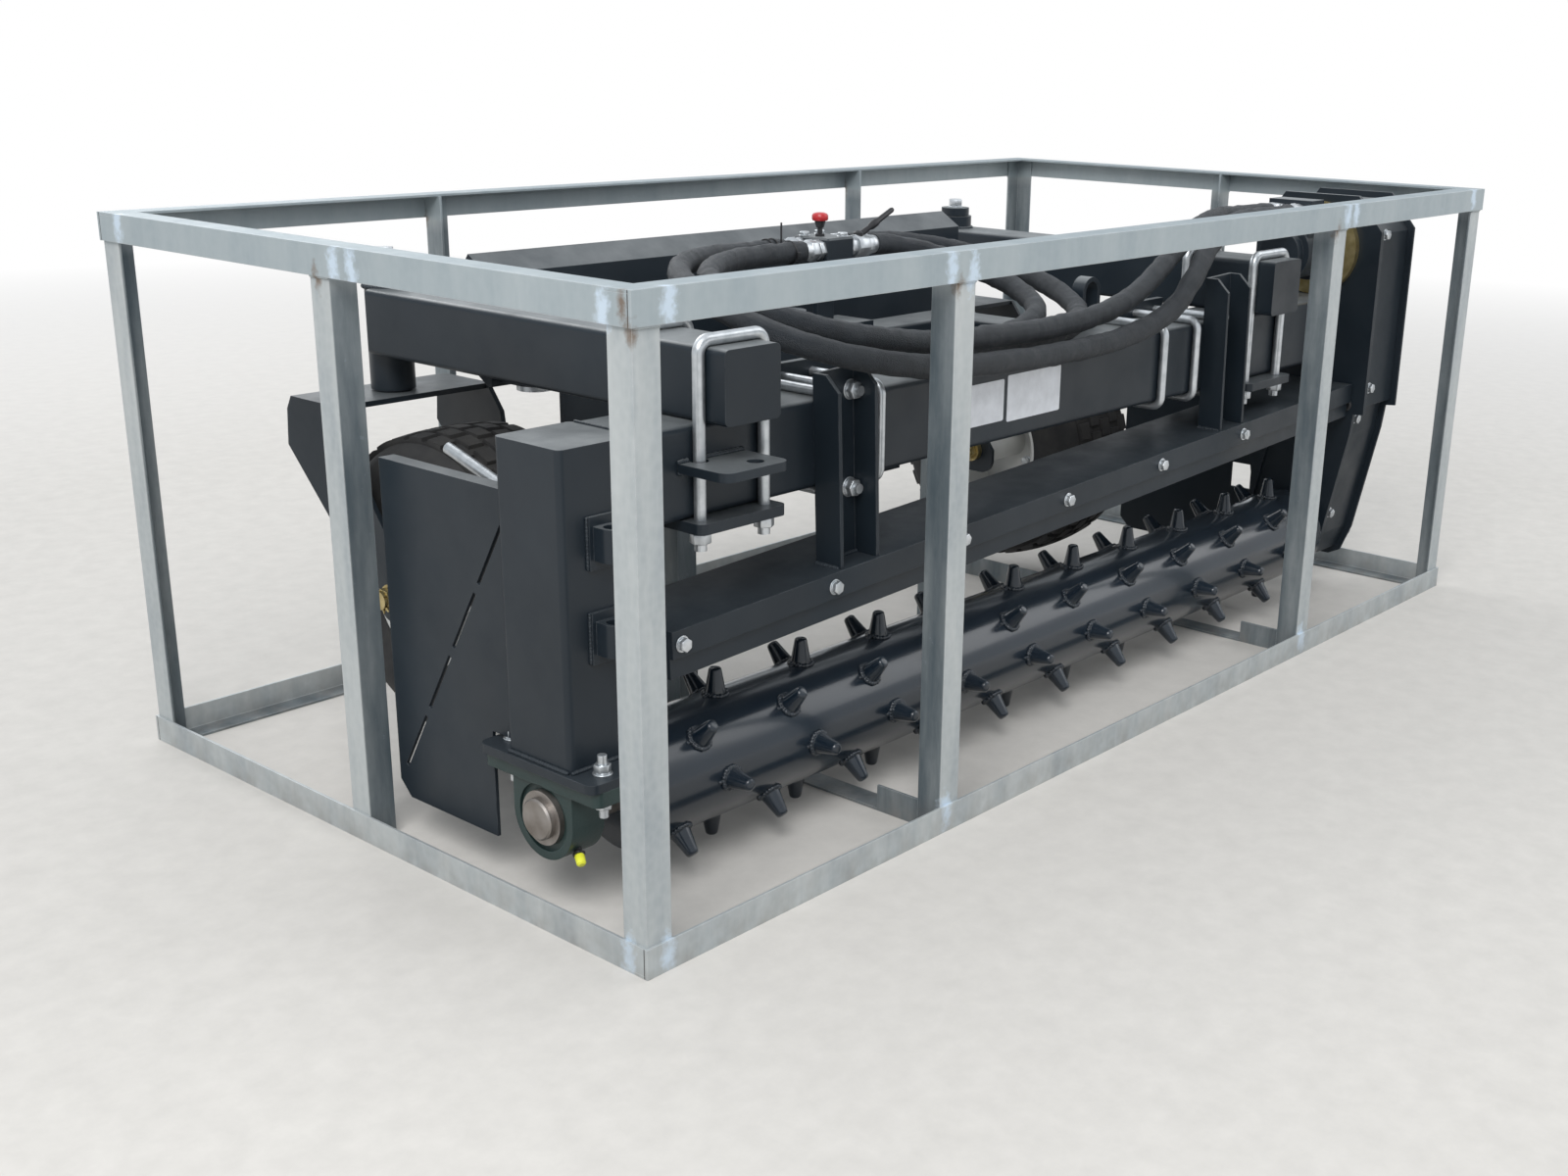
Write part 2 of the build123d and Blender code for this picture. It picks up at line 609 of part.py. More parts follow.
pin_low, pin_high = tongue_z[0] - 10, tongue_z[1] + tongue_t
pivot_pin = rod_z(pivot_r, pin_low, pin_high, hitch_x, pivot_y)
save("hitch_pivot_pin", pivot_pin + rod_z(pivot_r + 10, pin_high, pin_high + 10, hitch_x, pivot_y))

# Quick-attach plate, which turns about the pivot pin
qx0, qx1 = hitch_x - quick_half, hitch_x + quick_half
fx0, fx1 = hitch_x - quick_foot_half, hitch_x + quick_foot_half
lip_y = quick_y + quick_t
quick = plate_xz([(qx0, quick_top_z), (qx0, quick_step_z), (fx0, quick_step_z),
                  (fx0, quick_foot_z + quick_corner), (fx0 + quick_corner, quick_foot_z),
                  (fx1 - quick_corner, quick_foot_z), (fx1, quick_foot_z + quick_corner),
                  (fx1, quick_step_z), (qx1, quick_step_z), (qx1, quick_top_z)], quick_y, lip_y)
quick += plate_yz([(quick_y, quick_top_z - 14), (lip_y, quick_top_z - 14), (lip_y + 38, quick_top_z + 18),
                   (lip_y + 32, quick_top_z + 26), (quick_y, quick_top_z)], qx0, qx1)
for x in (qx0, qx1 - 8):
    quick += plate_yz([(lip_y, quick_step_z), (lip_y + 30, quick_step_z + 20), (lip_y + 22, quick_top_z),
                       (lip_y, quick_top_z)], x, x + 8)
for z in (cross_z[0] + seat_gap, cross_z[1] - tongue_t - seat_gap):
    ear = block(hitch_x - 60, hitch_x + 60, pivot_y + tongue_r, quick_y, z, z + tongue_t)
    ear += block(hitch_x - 42, hitch_x + 42, pivot_y, pivot_y + tongue_r, z, z + tongue_t)
    ear += rod_z(42, z, z + tongue_t, hitch_x, pivot_y)
    quick += ear - rod_z(pivot_r + run_gap, z - 1, z + tongue_t + 1, hitch_x, pivot_y)
for z in ear_z:
    ear_half = cylinder_eye_r + 6
    ear = block(cylinder_x - ear_half, cylinder_x + ear_half, cylinder_eye_y, quick_y, z, z + ear_t)
    ear += rod_z(ear_half, z, z + ear_t, cylinder_x, cylinder_eye_y)
    quick += ear - rod_z(cylinder_pin_r + eye_drift, z - 1, z + ear_t + 1, cylinder_x, cylinder_eye_y)
quick -= block(hitch_x - window_half, hitch_x + window_half, quick_y - 1, lip_y + 1, *window_z)
save("quick_attach_plate", quick)

# Its two feet, each with a slot for a locking wedge
feet = []
slot_y = lip_y + foot_reach / 2 - 3
for side in (-1, 1):
    mid = hitch_x + side * quick_slot_x
    foot = block(mid - foot_half, mid + foot_half, quick_y, lip_y + foot_reach, quick_foot_z - quick_t,
                 quick_foot_z)
    foot = chamfer(foot.edges().filter_by(Axis.Z).group_by(Axis.Y)[-1], 14)
    foot -= block(mid - wedge_slot / 2, mid + wedge_slot / 2, slot_y - wedge_slot / 4, slot_y + wedge_slot / 4,
                  quick_foot_z - quick_t - 1, quick_foot_z + 1)
    feet.append(foot)
save("quick_attach_feet", *feet)

# Angle cylinder between the hitch frame and the quick-attach plate
eye_low, eye_high = cylinder_z - cylinder_eye_h / 2, cylinder_z + cylinder_eye_h / 2
stroke = 92.0
bottom_t, gland_t, piston_t = 6.0, 12.0, 16.0
barrel_y0 = cylinder_base_y + cylinder_eye_r + 3
bore_y0 = barrel_y0 + bottom_t
piston_y = bore_y0 + 2 + stroke
barrel_y1 = bore_y0 + 2 + 2 * stroke + piston_t + 9 + gland_t
barrel = rod_z(cylinder_eye_r, eye_low, eye_high, cylinder_x, cylinder_base_y)
barrel += rod_y(13, cylinder_base_y, barrel_y0 + 1, cylinder_x, cylinder_z)
barrel += rod_y(cylinder_r, barrel_y0, barrel_y1, cylinder_x, cylinder_z)
barrel -= rod_y(cylinder_r - 5, bore_y0, barrel_y1 - gland_t, cylinder_x, cylinder_z)
barrel -= rod_y(12 + run_gap, barrel_y1 - gland_t - 1, barrel_y1 + 1, cylinder_x, cylinder_z)
barrel -= rod_z(cylinder_pin_r + run_gap, eye_low - 1, eye_high + 1, cylinder_x, cylinder_base_y)
save("angle_cylinder_barrel", barrel)

rod = rod_y(12, piston_y, cylinder_eye_y - cylinder_eye_r + 2, cylinder_x, cylinder_z)
rod += rod_y(cylinder_r - 5 - run_gap, piston_y, piston_y + piston_t, cylinder_x, cylinder_z)
rod += rod_z(cylinder_eye_r, eye_low, eye_high, cylinder_x, cylinder_eye_y)
rod -= rod_z(cylinder_pin_r, eye_low - 1, eye_high + 1, cylinder_x, cylinder_eye_y)
save("angle_cylinder_rod", rod)

head_r, head_t = cylinder_pin_r + eye_drift + 9, 8.0
low, high = ear_z[0], ear_z[1] + ear_t


def eye_pin(y, head_radius):
    pin = rod_z(cylinder_pin_r, low - head_t, high + head_t, cylinder_x, y)
    pin += rod_z(head_radius, high + seat_gap, high + head_t, cylinder_x, y)
    return pin + rod_z(head_radius, low - head_t, low - seat_gap, cylinder_x, y)


save("cylinder_base_pin", eye_pin(cylinder_base_y, cylinder_pin_r + 6))
save("cylinder_rod_pin", eye_pin(cylinder_eye_y, head_r))

# Valve block on the upper tongue
stand_inset = 6.0
stand_y0 = (valve_y[0] + valve_y[1] - stand_t) / 2
stand = block(valve_x[0] + 2 * stand_inset, valve_x[1] - 2 * stand_inset, stand_y0, stand_y0 + stand_t,
              cross_z[1] + tongue_t, valve_z0 - stand_t)
stand += block(valve_x[0] + stand_inset, valve_x[1] - stand_inset, valve_y[0] + stand_inset,
               valve_y[1] - stand_inset, valve_z0 - stand_t, valve_z0)
save("valve_stand", stand)
save("valve_block", chamfer(block(*valve_x, *valve_y, valve_z0, valve_z0 + valve_height).edges(), 3))

# Casters and wheels
half_fork = fork_width / 2
fork_outline = [(-55, 0), (60, 0), (72, -20), (77, -75), (-146, -302), (-218, -302), (-218, -255), (-93, -86),
                (-86, -40)]      # of a leg, from the spindle's axis and the fork's top
half = tyre_width / 2
tyre_profile = [(rim_r, 22), (rim_r + 14, 6), (rim_r + 55, 0), (tyre_r - 26, 8), (tyre_r - 5, 30), (tyre_r, 82)]
hub_end = half_fork - fork_t - side_gap


def fork_leg(x0):
    """Leg of a fork: its outline in (y, z) with the lower corners rounded."""
    points = [(x0, spindle_y + y, fork_top_z + z) for y, z in fork_outline]
    face = make_face(Polyline(*points, close=True))
    leg = extrude(face, amount=fork_t, dir=(1, 0, 0))
    low = [edge for edge in leg.edges().filter_by(Axis.X) if edge.center().Z < fork_top_z - 270]
    return fillet(low, fork_corner)


for side, x in zip(("left", "right"), arm_x):
    fork = block(x - half_fork, x + half_fork, spindle_y - 55, spindle_y + 60, fork_top_z - fork_t, fork_top_z)
    for x0 in (x - half_fork, x + half_fork - fork_t):
        fork += fork_leg(x0)
    fork += rod_z(spindle_r + 9, fork_top_z, sleeve_foot_z - side_gap, x, spindle_y)
    fork += rod_z(spindle_r, fork_top_z, sleeve_top_z + 2 * side_gap, x, spindle_y)
    fork += rod_z(spindle_r + 8, sleeve_top_z + side_gap, sleeve_top_z + 16, x, spindle_y)
    fork -= rod_x(axle_r, x - half_fork - 1, x + half_fork + 1, axle_y, axle_z)
    save(side + "_caster_fork", fork)

    axle = rod_x(axle_r, x - half_fork - 18, x + half_fork + 18, axle_y, axle_z)
    for x0 in (x - half_fork - 12, x + half_fork):
        axle += rod_x(20, x0, x0 + 12, axle_y, axle_z)
    save(side + "_axle", axle)

    right_half = [(half - inset, r) for r, inset in tyre_profile]
    section = right_half + [(-u, r) for u, r in reversed(right_half)]
    ring = make_face(Polyline(*[(u, 0, r) for u, r in section], close=True))
    save(side + "_tyre", Pos(x, axle_y, axle_z) * revolve(ring, axis=Axis.X))

    rim_half = [(half - 8, rim_r + 12), (half - 22, rim_r)]
    rim_inner = [(-half + 8, rim_r + 7), (-half + 20, rim_r - 4), (-3, rim_r - 4), (-3, hub_r),
                 (-hub_end, hub_r), (-hub_end, axle_r + run_gap)]
    outline = [(-half + 8, rim_r + 12)] + rim_inner + [(-u, r) for u, r in reversed(rim_inner)] + rim_half
    outline += [(-half + 22, rim_r)]
    web = make_face(Polyline(*[(u, 0, r) for u, r in outline], close=True))
    save(side + "_wheel_rim", Pos(x, axle_y, axle_z) * revolve(web, axis=Axis.X))

# Hydraulic hoses: a pair from the valve round the left arm and along the beam's front to the motor, and a pair
# that lies in a long loop on the beam, with quick couplers on its ends
front_port, back_port = motor_y - motor_port_gap / 2, motor_y + motor_port_gap / 2
hose_table = {
    "hose_front": [
        (valve_x[0], outer_port_y, port_z), (-330, outer_port_y, port_z), (-448, 9, 746), (-560, -50, 746),
        (-652, -150, 740), (-700, -268, 722), (-690, -385, 690), (-590, -455, 658), (-440, -462, 634),
        (-270, -452, 622), (-100, -446, 618), (60, -446, 624), (180, -444, 652), (265, -430, 704),
        (360, -402, 752), (480, -372, 774), (600, front_port, motor_port_z),
        (motor_port_x - 25, front_port, motor_port_z),
    ],
    "hose_return": [
        (valve_x[0], inner_port_y, port_z), (-318, inner_port_y, port_z), (-420, -32, 744),
        (-520, -76, 742), (-602, -150, 738), (-652, -258, 728), (-648, -360, 706), (-562, -418, 682),
        (-440, -424, 664), (-290, -418, 656), (-140, -410, 650), (0, -406, 654), (120, -402, 674),
        (220, -392, 716), (340, -366, 758), (470, -336, 778), (600, back_port, motor_port_z),
        (motor_port_x - 25, back_port, motor_port_z),
    ],
    "hose_supply": [
        (valve_x[1], outer_port_y, port_z), (-96, outer_port_y, port_z), (-36, 21, 740), (25, 6, 736),
        (77, -31, 728), (113, -84, 714), (132, -144, 698), (132, -208, 681), (114, -270, 664),
        (77, -324, 650), (19, -363, 639), (-50, -375, 631), (-116, supply_y, coupler_z),
        (-184, supply_y - 1, coupler_z + 0.5), (-254, supply_y, coupler_z),
        (supply_end_x, supply_y, coupler_z),
    ],
    "hose_drain": [
        (valve_x[1], inner_port_y, port_z), (-104, inner_port_y, port_z), (-53, -27, 739), (-9, -55, 730),
        (22, -97, 717), (38, -146, 702), (40, -198, 687), (28, -248, 673), (1, -292, 660), (-41, -322, 649),
        (-91, -335, 641), (-143, -338, 634), (-201, drain_y, coupler_z), (drain_end_x, drain_y, coupler_z),
    ],
}
for name, route in hose_table.items():
    save(name, cord_tube(name, route, hose_r))

couplers = []
for end_x, y in ((supply_end_x, supply_y), (drain_end_x, drain_y)):
    coupler = rod_x(coupler_r - 4, end_x - 30, end_x, y, coupler_z)
    coupler += rod_x(coupler_r, end_x - 72, end_x - 30, y, coupler_z)
    coupler += rod_x(coupler_r - 3, end_x - 96, end_x - 72, y, coupler_z)
    coupler -= rod_x(coupler_r - 8, end_x - 97, end_x - 60, y, coupler_z)
    couplers.append(coupler)
save("hose_couplers", *couplers)
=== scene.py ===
import bpy
import bmesh
import json
import math
from mathutils import Matrix, Vector


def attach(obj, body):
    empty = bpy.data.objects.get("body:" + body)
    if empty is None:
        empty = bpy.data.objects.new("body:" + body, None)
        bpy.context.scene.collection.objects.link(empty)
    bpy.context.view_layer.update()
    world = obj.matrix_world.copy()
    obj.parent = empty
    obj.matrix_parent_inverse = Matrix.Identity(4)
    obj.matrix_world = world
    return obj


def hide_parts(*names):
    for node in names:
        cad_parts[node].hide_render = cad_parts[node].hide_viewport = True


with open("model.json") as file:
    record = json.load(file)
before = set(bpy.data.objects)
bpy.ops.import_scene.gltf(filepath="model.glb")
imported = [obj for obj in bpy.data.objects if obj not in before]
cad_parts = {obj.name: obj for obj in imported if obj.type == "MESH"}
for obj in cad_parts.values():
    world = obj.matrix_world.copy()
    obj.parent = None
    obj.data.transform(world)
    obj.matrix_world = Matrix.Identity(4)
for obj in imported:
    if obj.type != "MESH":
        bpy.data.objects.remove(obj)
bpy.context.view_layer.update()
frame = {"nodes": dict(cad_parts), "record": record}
nodes = frame["nodes"]
print("frame loaded:", len(nodes), "nodes")

# camera, floor and light
view = {"place": (-2.369, -1.960, 1.059), "azimuth": -49.97, "elevation": 18.33, "roll": 1.11,
        "focalPixels": 1808.7, "centre": (894.8, 643.0), "frame": (1600, 1200)}
studio = {"floorSize": 80.0, "floorColour": (0.60, 0.575, 0.54), "fadeFrom": 2.2, "fadeTo": 6.5, "world": 0.80,
          "skyColour": (0.90, 0.95, 1.0)}
lamps = {  # place, side of the lamp, power
    "keyLamp": ((-3.7, -2.3, 4.2), 2.6, 200.0),
    "fillLamp": ((3.4, -2.2, 3.2), 3.5, 50.0),
    "backLamp": ((0.5, 4.2, 3.6), 3.0, 80.0),
}


def placeCamera():
    data = bpy.data.cameras.new("camera")
    camera = bpy.data.objects.new("camera", data)
    bpy.context.scene.collection.objects.link(camera)
    turn = (Matrix.Rotation(math.radians(view["azimuth"]), 4, "Z")
            @ Matrix.Rotation(math.radians(90 - view["elevation"]), 4, "X")
            @ Matrix.Rotation(math.radians(view["roll"]), 4, "Z"))
    camera.matrix_world = Matrix.Translation(view["place"]) @ turn
    wide, high = view["frame"]
    data.sensor_width = 36.0
    data.lens = view["focalPixels"] / wide * data.sensor_width
    data.shift_x = (wide / 2 - view["centre"][0]) / wide
    data.shift_y = (view["centre"][1] - high / 2) / wide
    bpy.context.scene.camera = camera
    bpy.context.scene.view_settings.view_transform = "Standard"


placeCamera()
print("camera placed")


# small helpers for materials
class Shade:
    # nodes of one material, written short
    def __init__(self, name):
        self.mat = bpy.data.materials.new(name)
        self.mat.use_nodes = True
        self.tree = self.mat.node_tree
        self.shader = self.tree.nodes["Principled BSDF"]
        self.coords = self.add("ShaderNodeTexCoord").outputs["Object"]

    def add(self, kind, **values):
        node = self.tree.nodes.new(kind)
        for key, value in values.items():
            if key in node.inputs:
                node.inputs[key].default_value = value
            else:
                setattr(node, key, value)
        return node

    def plug(self, value, socket):
        if isinstance(value, bpy.types.NodeSocket):
            self.tree.links.new(value, socket)
        elif isinstance(value, tuple) and len(socket.default_value) == 4:
            socket.default_value = (*value, 1.0)
        else:
            socket.default_value = value

    def stretch(self, scale):
        node = self.add("ShaderNodeMapping")
        node.inputs["Scale"].default_value = scale
        self.plug(self.coords, node.inputs["Vector"])
        return node.outputs["Vector"]

    def noise(self, scale, detail=4.0, roughness=0.5, coords=None):
        node = self.add("ShaderNodeTexNoise", Scale=scale, Detail=detail, Roughness=roughness)
        self.plug(coords or self.coords, node.inputs["Vector"])
        return node.outputs["Fac"]

    def cells(self, scale):
        node = self.add("ShaderNodeTexVoronoi", Scale=scale)
        self.plug(self.coords, node.inputs["Vector"])
        return node.outputs["Distance"]

    def ramp(self, source, stops):
        node = self.add("ShaderNodeValToRGB")
        elements = node.color_ramp.elements
        while len(elements) < len(stops):
            elements.new(0.5)
        for element, (at, colour) in zip(elements, stops):
            element.position = at
            element.color = (*colour, 1.0)
        self.plug(source, node.inputs["Fac"])
        return node.outputs["Color"]

    def remap(self, source, low, high, fromLow=0.0, fromHigh=1.0):
        node = self.add("ShaderNodeMapRange")
        for key, value in (("From Min", fromLow), ("From Max", fromHigh), ("To Min", low), ("To Max", high)):
            node.inputs[key].default_value = value
        self.plug(source, node.inputs["Value"])
        return node.outputs["Result"]

    def mix(self, share, a, b):
        node = self.add("ShaderNodeMix", data_type="RGBA")
        for value, socket in ((share, node.inputs[0]), (a, node.inputs[6]), (b, node.inputs[7])):
            self.plug(value, socket)
        return node.outputs[2]

    def maths(self, kind, a, b=0.0):
        node = self.add("ShaderNodeMath", operation=kind)
        self.plug(a, node.inputs[0])
        self.plug(b, node.inputs[1])
        return node.outputs[0]

    def upward(self):
        geometry = self.add("ShaderNodeNewGeometry")
        split = self.add("ShaderNodeSeparateXYZ")
        self.plug(geometry.outputs["Normal"], split.inputs[0])
        return split.outputs["Z"]

    def low(self, top):
        # 1 at the floor, 0 from the height top up
        split = self.add("ShaderNodeSeparateXYZ")
        self.plug(self.coords, split.inputs[0])
        return self.remap(split.outputs["Z"], 1.0, 0.0, 0.0, top)

    def above(self, bottom, top, least):
        # least below the height bottom, 1 from the height top up
        split = self.add("ShaderNodeSeparateXYZ")
        self.plug(self.coords, split.inputs[0])
        return self.remap(split.outputs["Z"], least, 1.0, bottom, top)

    def near(self, places, reach, squeeze=(1.7, 1.7, 0.7)):
        # 1 at any of the places, 0 from the distance reach on, drawn out upright
        total = None
        drawn = self.stretch(squeeze)
        for place in places:
            node = self.add("ShaderNodeVectorMath", operation="DISTANCE")
            self.plug(drawn, node.inputs[0])
            node.inputs[1].default_value = [a * b for a, b in zip(place, squeeze)]
            share = self.remap(node.outputs["Value"], 1.0, 0.0, 0.0, reach)
            total = share if total is None else self.maths("MAXIMUM", total, share)
        return total

    def rounded(self, radius):
        # share of edge painted lighter, partly as wear and partly as painted highlight, and the rounded normal for
        # the bump
        bevel = self.add("ShaderNodeBevel", samples=4, Radius=radius)
        geometry = self.add("ShaderNodeNewGeometry")
        dot = self.add("ShaderNodeVectorMath", operation="DOT_PRODUCT")
        self.plug(bevel.outputs[0], dot.inputs[0])
        self.plug(geometry.outputs["Normal"], dot.inputs[1])
        return self.remap(dot.outputs["Value"], 1.0, 0.0, 0.78, 0.99), bevel.outputs[0]

    def height(self, source, strength, distance, normal=None):
        node = self.add("ShaderNodeBump", Strength=strength, Distance=distance)
        self.plug(source, node.inputs["Height"])
        if normal is not None:
            self.plug(normal, node.inputs["Normal"])
        self.plug(node.outputs["Normal"], self.shader.inputs["Normal"])

    def set(self, **values):
        names = {"colour": "Base Color", "roughness": "Roughness", "metallic": "Metallic", "coat": "Coat Weight",
                 "coatRoughness": "Coat Roughness", "specular": "Specular IOR Level", "sheen": "Sheen Weight"}
        for key, value in values.items():
            self.plug(value, self.shader.inputs[names[key]])
        return self


# finishes
# the dust colour and its top and side shares are partly dust and partly painted sky reflection
paintTones = {"dark": (0.0095, 0.0150, 0.0210), "light": (0.0160, 0.0235, 0.0315), "dust": (0.270, 0.285, 0.288),
              "edge": (0.105, 0.115, 0.125), "topDustAndSkyReflection": 0.80, "sideDustAndSkyReflection": 0.0, "edgeRadius": 0.0016}


def paintBlack():
    s = Shade("blackSatinPaint")
    edge, soft = s.rounded(paintTones["edgeRadius"])
    cloud = s.ramp(s.noise(5.0, 6), [(0.3, paintTones["dark"]), (0.75, paintTones["light"])])
    # share of the dust colour on upward faces, partly dust and partly painted sky reflection, dropping to a tenth
    # below 0.42 m as painted shade under the beam
    top = s.maths("MULTIPLY", s.remap(s.upward(), paintTones["sideDustAndSkyReflection"], paintTones["topDustAndSkyReflection"], 0.60, 0.98),
                  s.above(0.42, 0.60, 0.10))
    dust = s.maths("MULTIPLY", top, s.remap(s.noise(11.0, 8, 0.6), 0.35, 1.15, 0.25, 0.8))
    # edges painted lighter, partly as wear and partly as painted highlight
    edgeWearAndHighlight = s.maths("MULTIPLY", edge, s.remap(s.noise(35.0, 5), 0.0, 0.9, 0.35, 0.7))
    s.set(colour=s.mix(edgeWearAndHighlight, s.mix(dust, cloud, paintTones["dust"]), paintTones["edge"]),
          roughness=s.remap(s.noise(14.0, 6, 0.6), 0.32, 0.50, 0.3, 0.7), specular=0.38)
    s.height(s.noise(750.0, 2), 0.10, 0.0004, soft)
    return s.mat


drumTones = {"dark": (0.0055, 0.0110, 0.0185), "light": (0.0100, 0.0185, 0.0295), "edge": (0.08, 0.085, 0.09),
             "edgeRadius": 0.002}


def paintDrum():
    s = Shade("drumGlossPaint")
    edge, soft = s.rounded(drumTones["edgeRadius"])
    cloud = s.ramp(s.noise(6.0, 5), [(0.3, drumTones["dark"]), (0.8, drumTones["light"])])
    dust = s.maths("MULTIPLY", s.remap(s.upward(), 0.0, 0.10, 0.7, 1.0), s.noise(16.0, 7))
    # edges get a quarter share of the lighter edge tone, partly wear and partly painted highlight
    s.set(colour=s.mix(s.maths("MULTIPLY", edge, 0.25), s.mix(dust, cloud, paintTones["dust"]), drumTones["edge"]),
          roughness=s.remap(s.noise(11.0, 6), 0.15, 0.32), coat=0.40, coatRoughness=0.12)
    s.height(s.noise(300.0, 3), 0.14, 0.0005, soft)
    return s.mat


zincTouch = {  # welded spots painted over with bright zinc, and rust at the joints
    "weldSpots": [(-1.061, -0.563, 0.795), (-0.570, -0.563, 0.791), (-0.526, -0.563, 0.782), (0.534, -0.563, 0.797),
                  (0.564, -0.563, 0.795), (1.067, -0.563, 0.800), (-1.115, -0.517, 0.787), (-1.115, -0.021, 0.787),
                  (-1.115, -0.058, 0.785), (-1.115, 0.507, 0.797), (-1.115, -0.530, 0.020), (-1.080, -0.563, 0.018),
                  (-0.545, -0.560, 0.030), (0.512, -0.560, 0.030)],
    "rustSpots": [(-1.115, -0.548, 0.795), (-1.111, -0.557, 0.765), (-0.552, -0.559, 0.768), (-0.552, 0.559, 0.768),
                  (0.503, 0.559, 0.768), (-1.111, 0.020, 0.768), (0.503, -0.559, 0.768)],
    "weldReach": 0.034, "rustReach": 0.024, "seamTone": (0.045, 0.045, 0.045),
    # the inner and rail tones are painted shade
    "innerShadeTone": (0.072, 0.100, 0.118), "railShadeTone": (0.30, 0.365, 0.395), "weldTone": (0.60, 0.70, 0.80),
    # the edge tone is partly wear and partly painted highlight
    "rustTone": (0.16, 0.095, 0.05), "grimeTone": (0.24, 0.22, 0.20), "edgeWearAndHighlightTone": (0.72, 0.74, 0.74),
}
crate = {  # distances from the middle, and heights between which a tone fades
    "legX": 1.1105, "legY": 0.5585, "seamY": 0.5578, "endX": 1.1142, "midHeight": 0.405, "railAway": 0.365,
    # the inner and rail fades bound painted shade
    "innerShadeFade": (0.745, 0.772), "railShadeFade": (0.764, 0.772),
}


def galvanised():
    s = Shade("galvanisedAngle")
    edge, soft = s.rounded(0.0014)
    streak = s.noise(20.0, 8, 0.6, coords=s.stretch((1.0, 1.0, 0.16)))
    drip = s.noise(55.0, 5, 0.55, coords=s.stretch((1.0, 1.0, 0.22)))
    base = s.ramp(streak, [(0.28, (0.33, 0.365, 0.385)), (0.5, (0.43, 0.46, 0.465)), (0.75, (0.53, 0.55, 0.545))])
    base = s.mix(s.remap(drip, 0.0, 0.35, 0.55, 0.8), base, (0.27, 0.31, 0.34))
    base = s.mix(s.remap(s.cells(85.0), 0.0, 0.16, 0.2, 0.8), base, (0.62, 0.64, 0.64))
    # painted shade darkens and streaks the legs that point into the crate, and painted shade makes the top rails
    # darker and bluer
    split = s.add("ShaderNodeSeparateXYZ")
    s.plug(s.coords, split.inputs[0])
    acrossX, acrossY = (s.maths("ABSOLUTE", split.outputs[axis]) for axis in ("X", "Y"))
    level = split.outputs["Z"]
    depth = s.maths("MINIMUM", s.maths("SUBTRACT", crate["legX"], acrossX),
                    s.maths("SUBTRACT", crate["legY"], acrossY))
    # painted shade on faces lying inside the crate's outer planes, broken up by the streaks and weaker on the top
    # rails
    innerShade = s.maths("MULTIPLY", s.remap(depth, 0.0, 1.0, 0.0, 0.002), s.remap(streak, 1.0, 0.45, 0.35, 0.75))
    innerShade = s.maths("MULTIPLY", innerShade, s.remap(level, 0.90, 0.35, *crate["innerShadeFade"]))
    base = s.mix(innerShade, base, zincTouch["innerShadeTone"])
    # top rails above 0.77 m get painted shade, darker and bluer
    base = s.mix(s.remap(level, 0.0, 0.55, *crate["railShadeFade"]), base, zincTouch["railShadeTone"])
    # dark joint where an end rail meets a long rail
    offSeam = s.maths("ABSOLUTE", s.maths("SUBTRACT", acrossY, crate["seamY"]))
    onEnd = s.maths("GREATER_THAN", acrossX, crate["endX"])
    fromMiddle = s.maths("ABSOLUTE", s.maths("SUBTRACT", level, crate["midHeight"]))
    onRail = s.maths("GREATER_THAN", fromMiddle, crate["railAway"])
    seam = s.maths("MULTIPLY", s.maths("MULTIPLY", s.remap(offSeam, 1.0, 0.0, 0.0004, 0.0013), onEnd), onRail)
    base = s.mix(seam, base, zincTouch["seamTone"])
    breakUp = s.remap(s.noise(70.0, 6, 0.65), -0.30, 0.35, 0.3, 0.7)
    touched = s.maths("ADD", s.near(zincTouch["weldSpots"], zincTouch["weldReach"]), breakUp)
    base = s.mix(s.remap(touched, 0.0, 0.9, 0.3, 0.8), base, zincTouch["weldTone"])
    rusty = s.maths("ADD", s.near(zincTouch["rustSpots"], zincTouch["rustReach"]), breakUp)
    base = s.mix(s.remap(rusty, 0.0, 0.8, 0.35, 0.95), base, zincTouch["rustTone"])
    grime = s.maths("MULTIPLY", s.low(0.05), s.remap(s.noise(30.0, 6), 0.0, 0.6, 0.35, 0.75))
    grimy = s.mix(grime, base, zincTouch["grimeTone"])
    # edges lightened by half towards the edge tone, partly wear and partly painted highlight
    s.set(colour=s.mix(s.maths("MULTIPLY", edge, 0.5), grimy, zincTouch["edgeWearAndHighlightTone"]), metallic=0.35,
          roughness=s.remap(s.noise(40.0, 5), 0.40, 0.62))
    s.height(s.maths("ADD", s.noise(160.0, 4), s.maths("MULTIPLY", s.noise(30.0, 3), 2.0)), 0.10, 0.0008, soft)
    return s.mat


def zincPlate(name, low, high):
    s = Shade(name)
    s.set(colour=s.ramp(s.noise(60.0, 5), [(0.3, low), (0.7, high)]), metallic=0.85,
          roughness=s.remap(s.noise(90.0, 4), 0.26, 0.46))
    s.height(s.noise(300.0, 3), 0.10, 0.0003)
    return s.mat


def turnedSteel():
    s = Shade("turnedSteel")
    s.set(colour=s.ramp(s.noise(30.0, 6), [(0.3, (0.20, 0.175, 0.155)), (0.7, (0.36, 0.335, 0.315))]),
          metallic=0.85, roughness=s.remap(s.noise(120.0, 4), 0.28, 0.52))
    s.height(s.noise(500.0, 3, coords=s.stretch((1.0, 0.1, 0.1))), 0.15, 0.0004)
    return s.mat


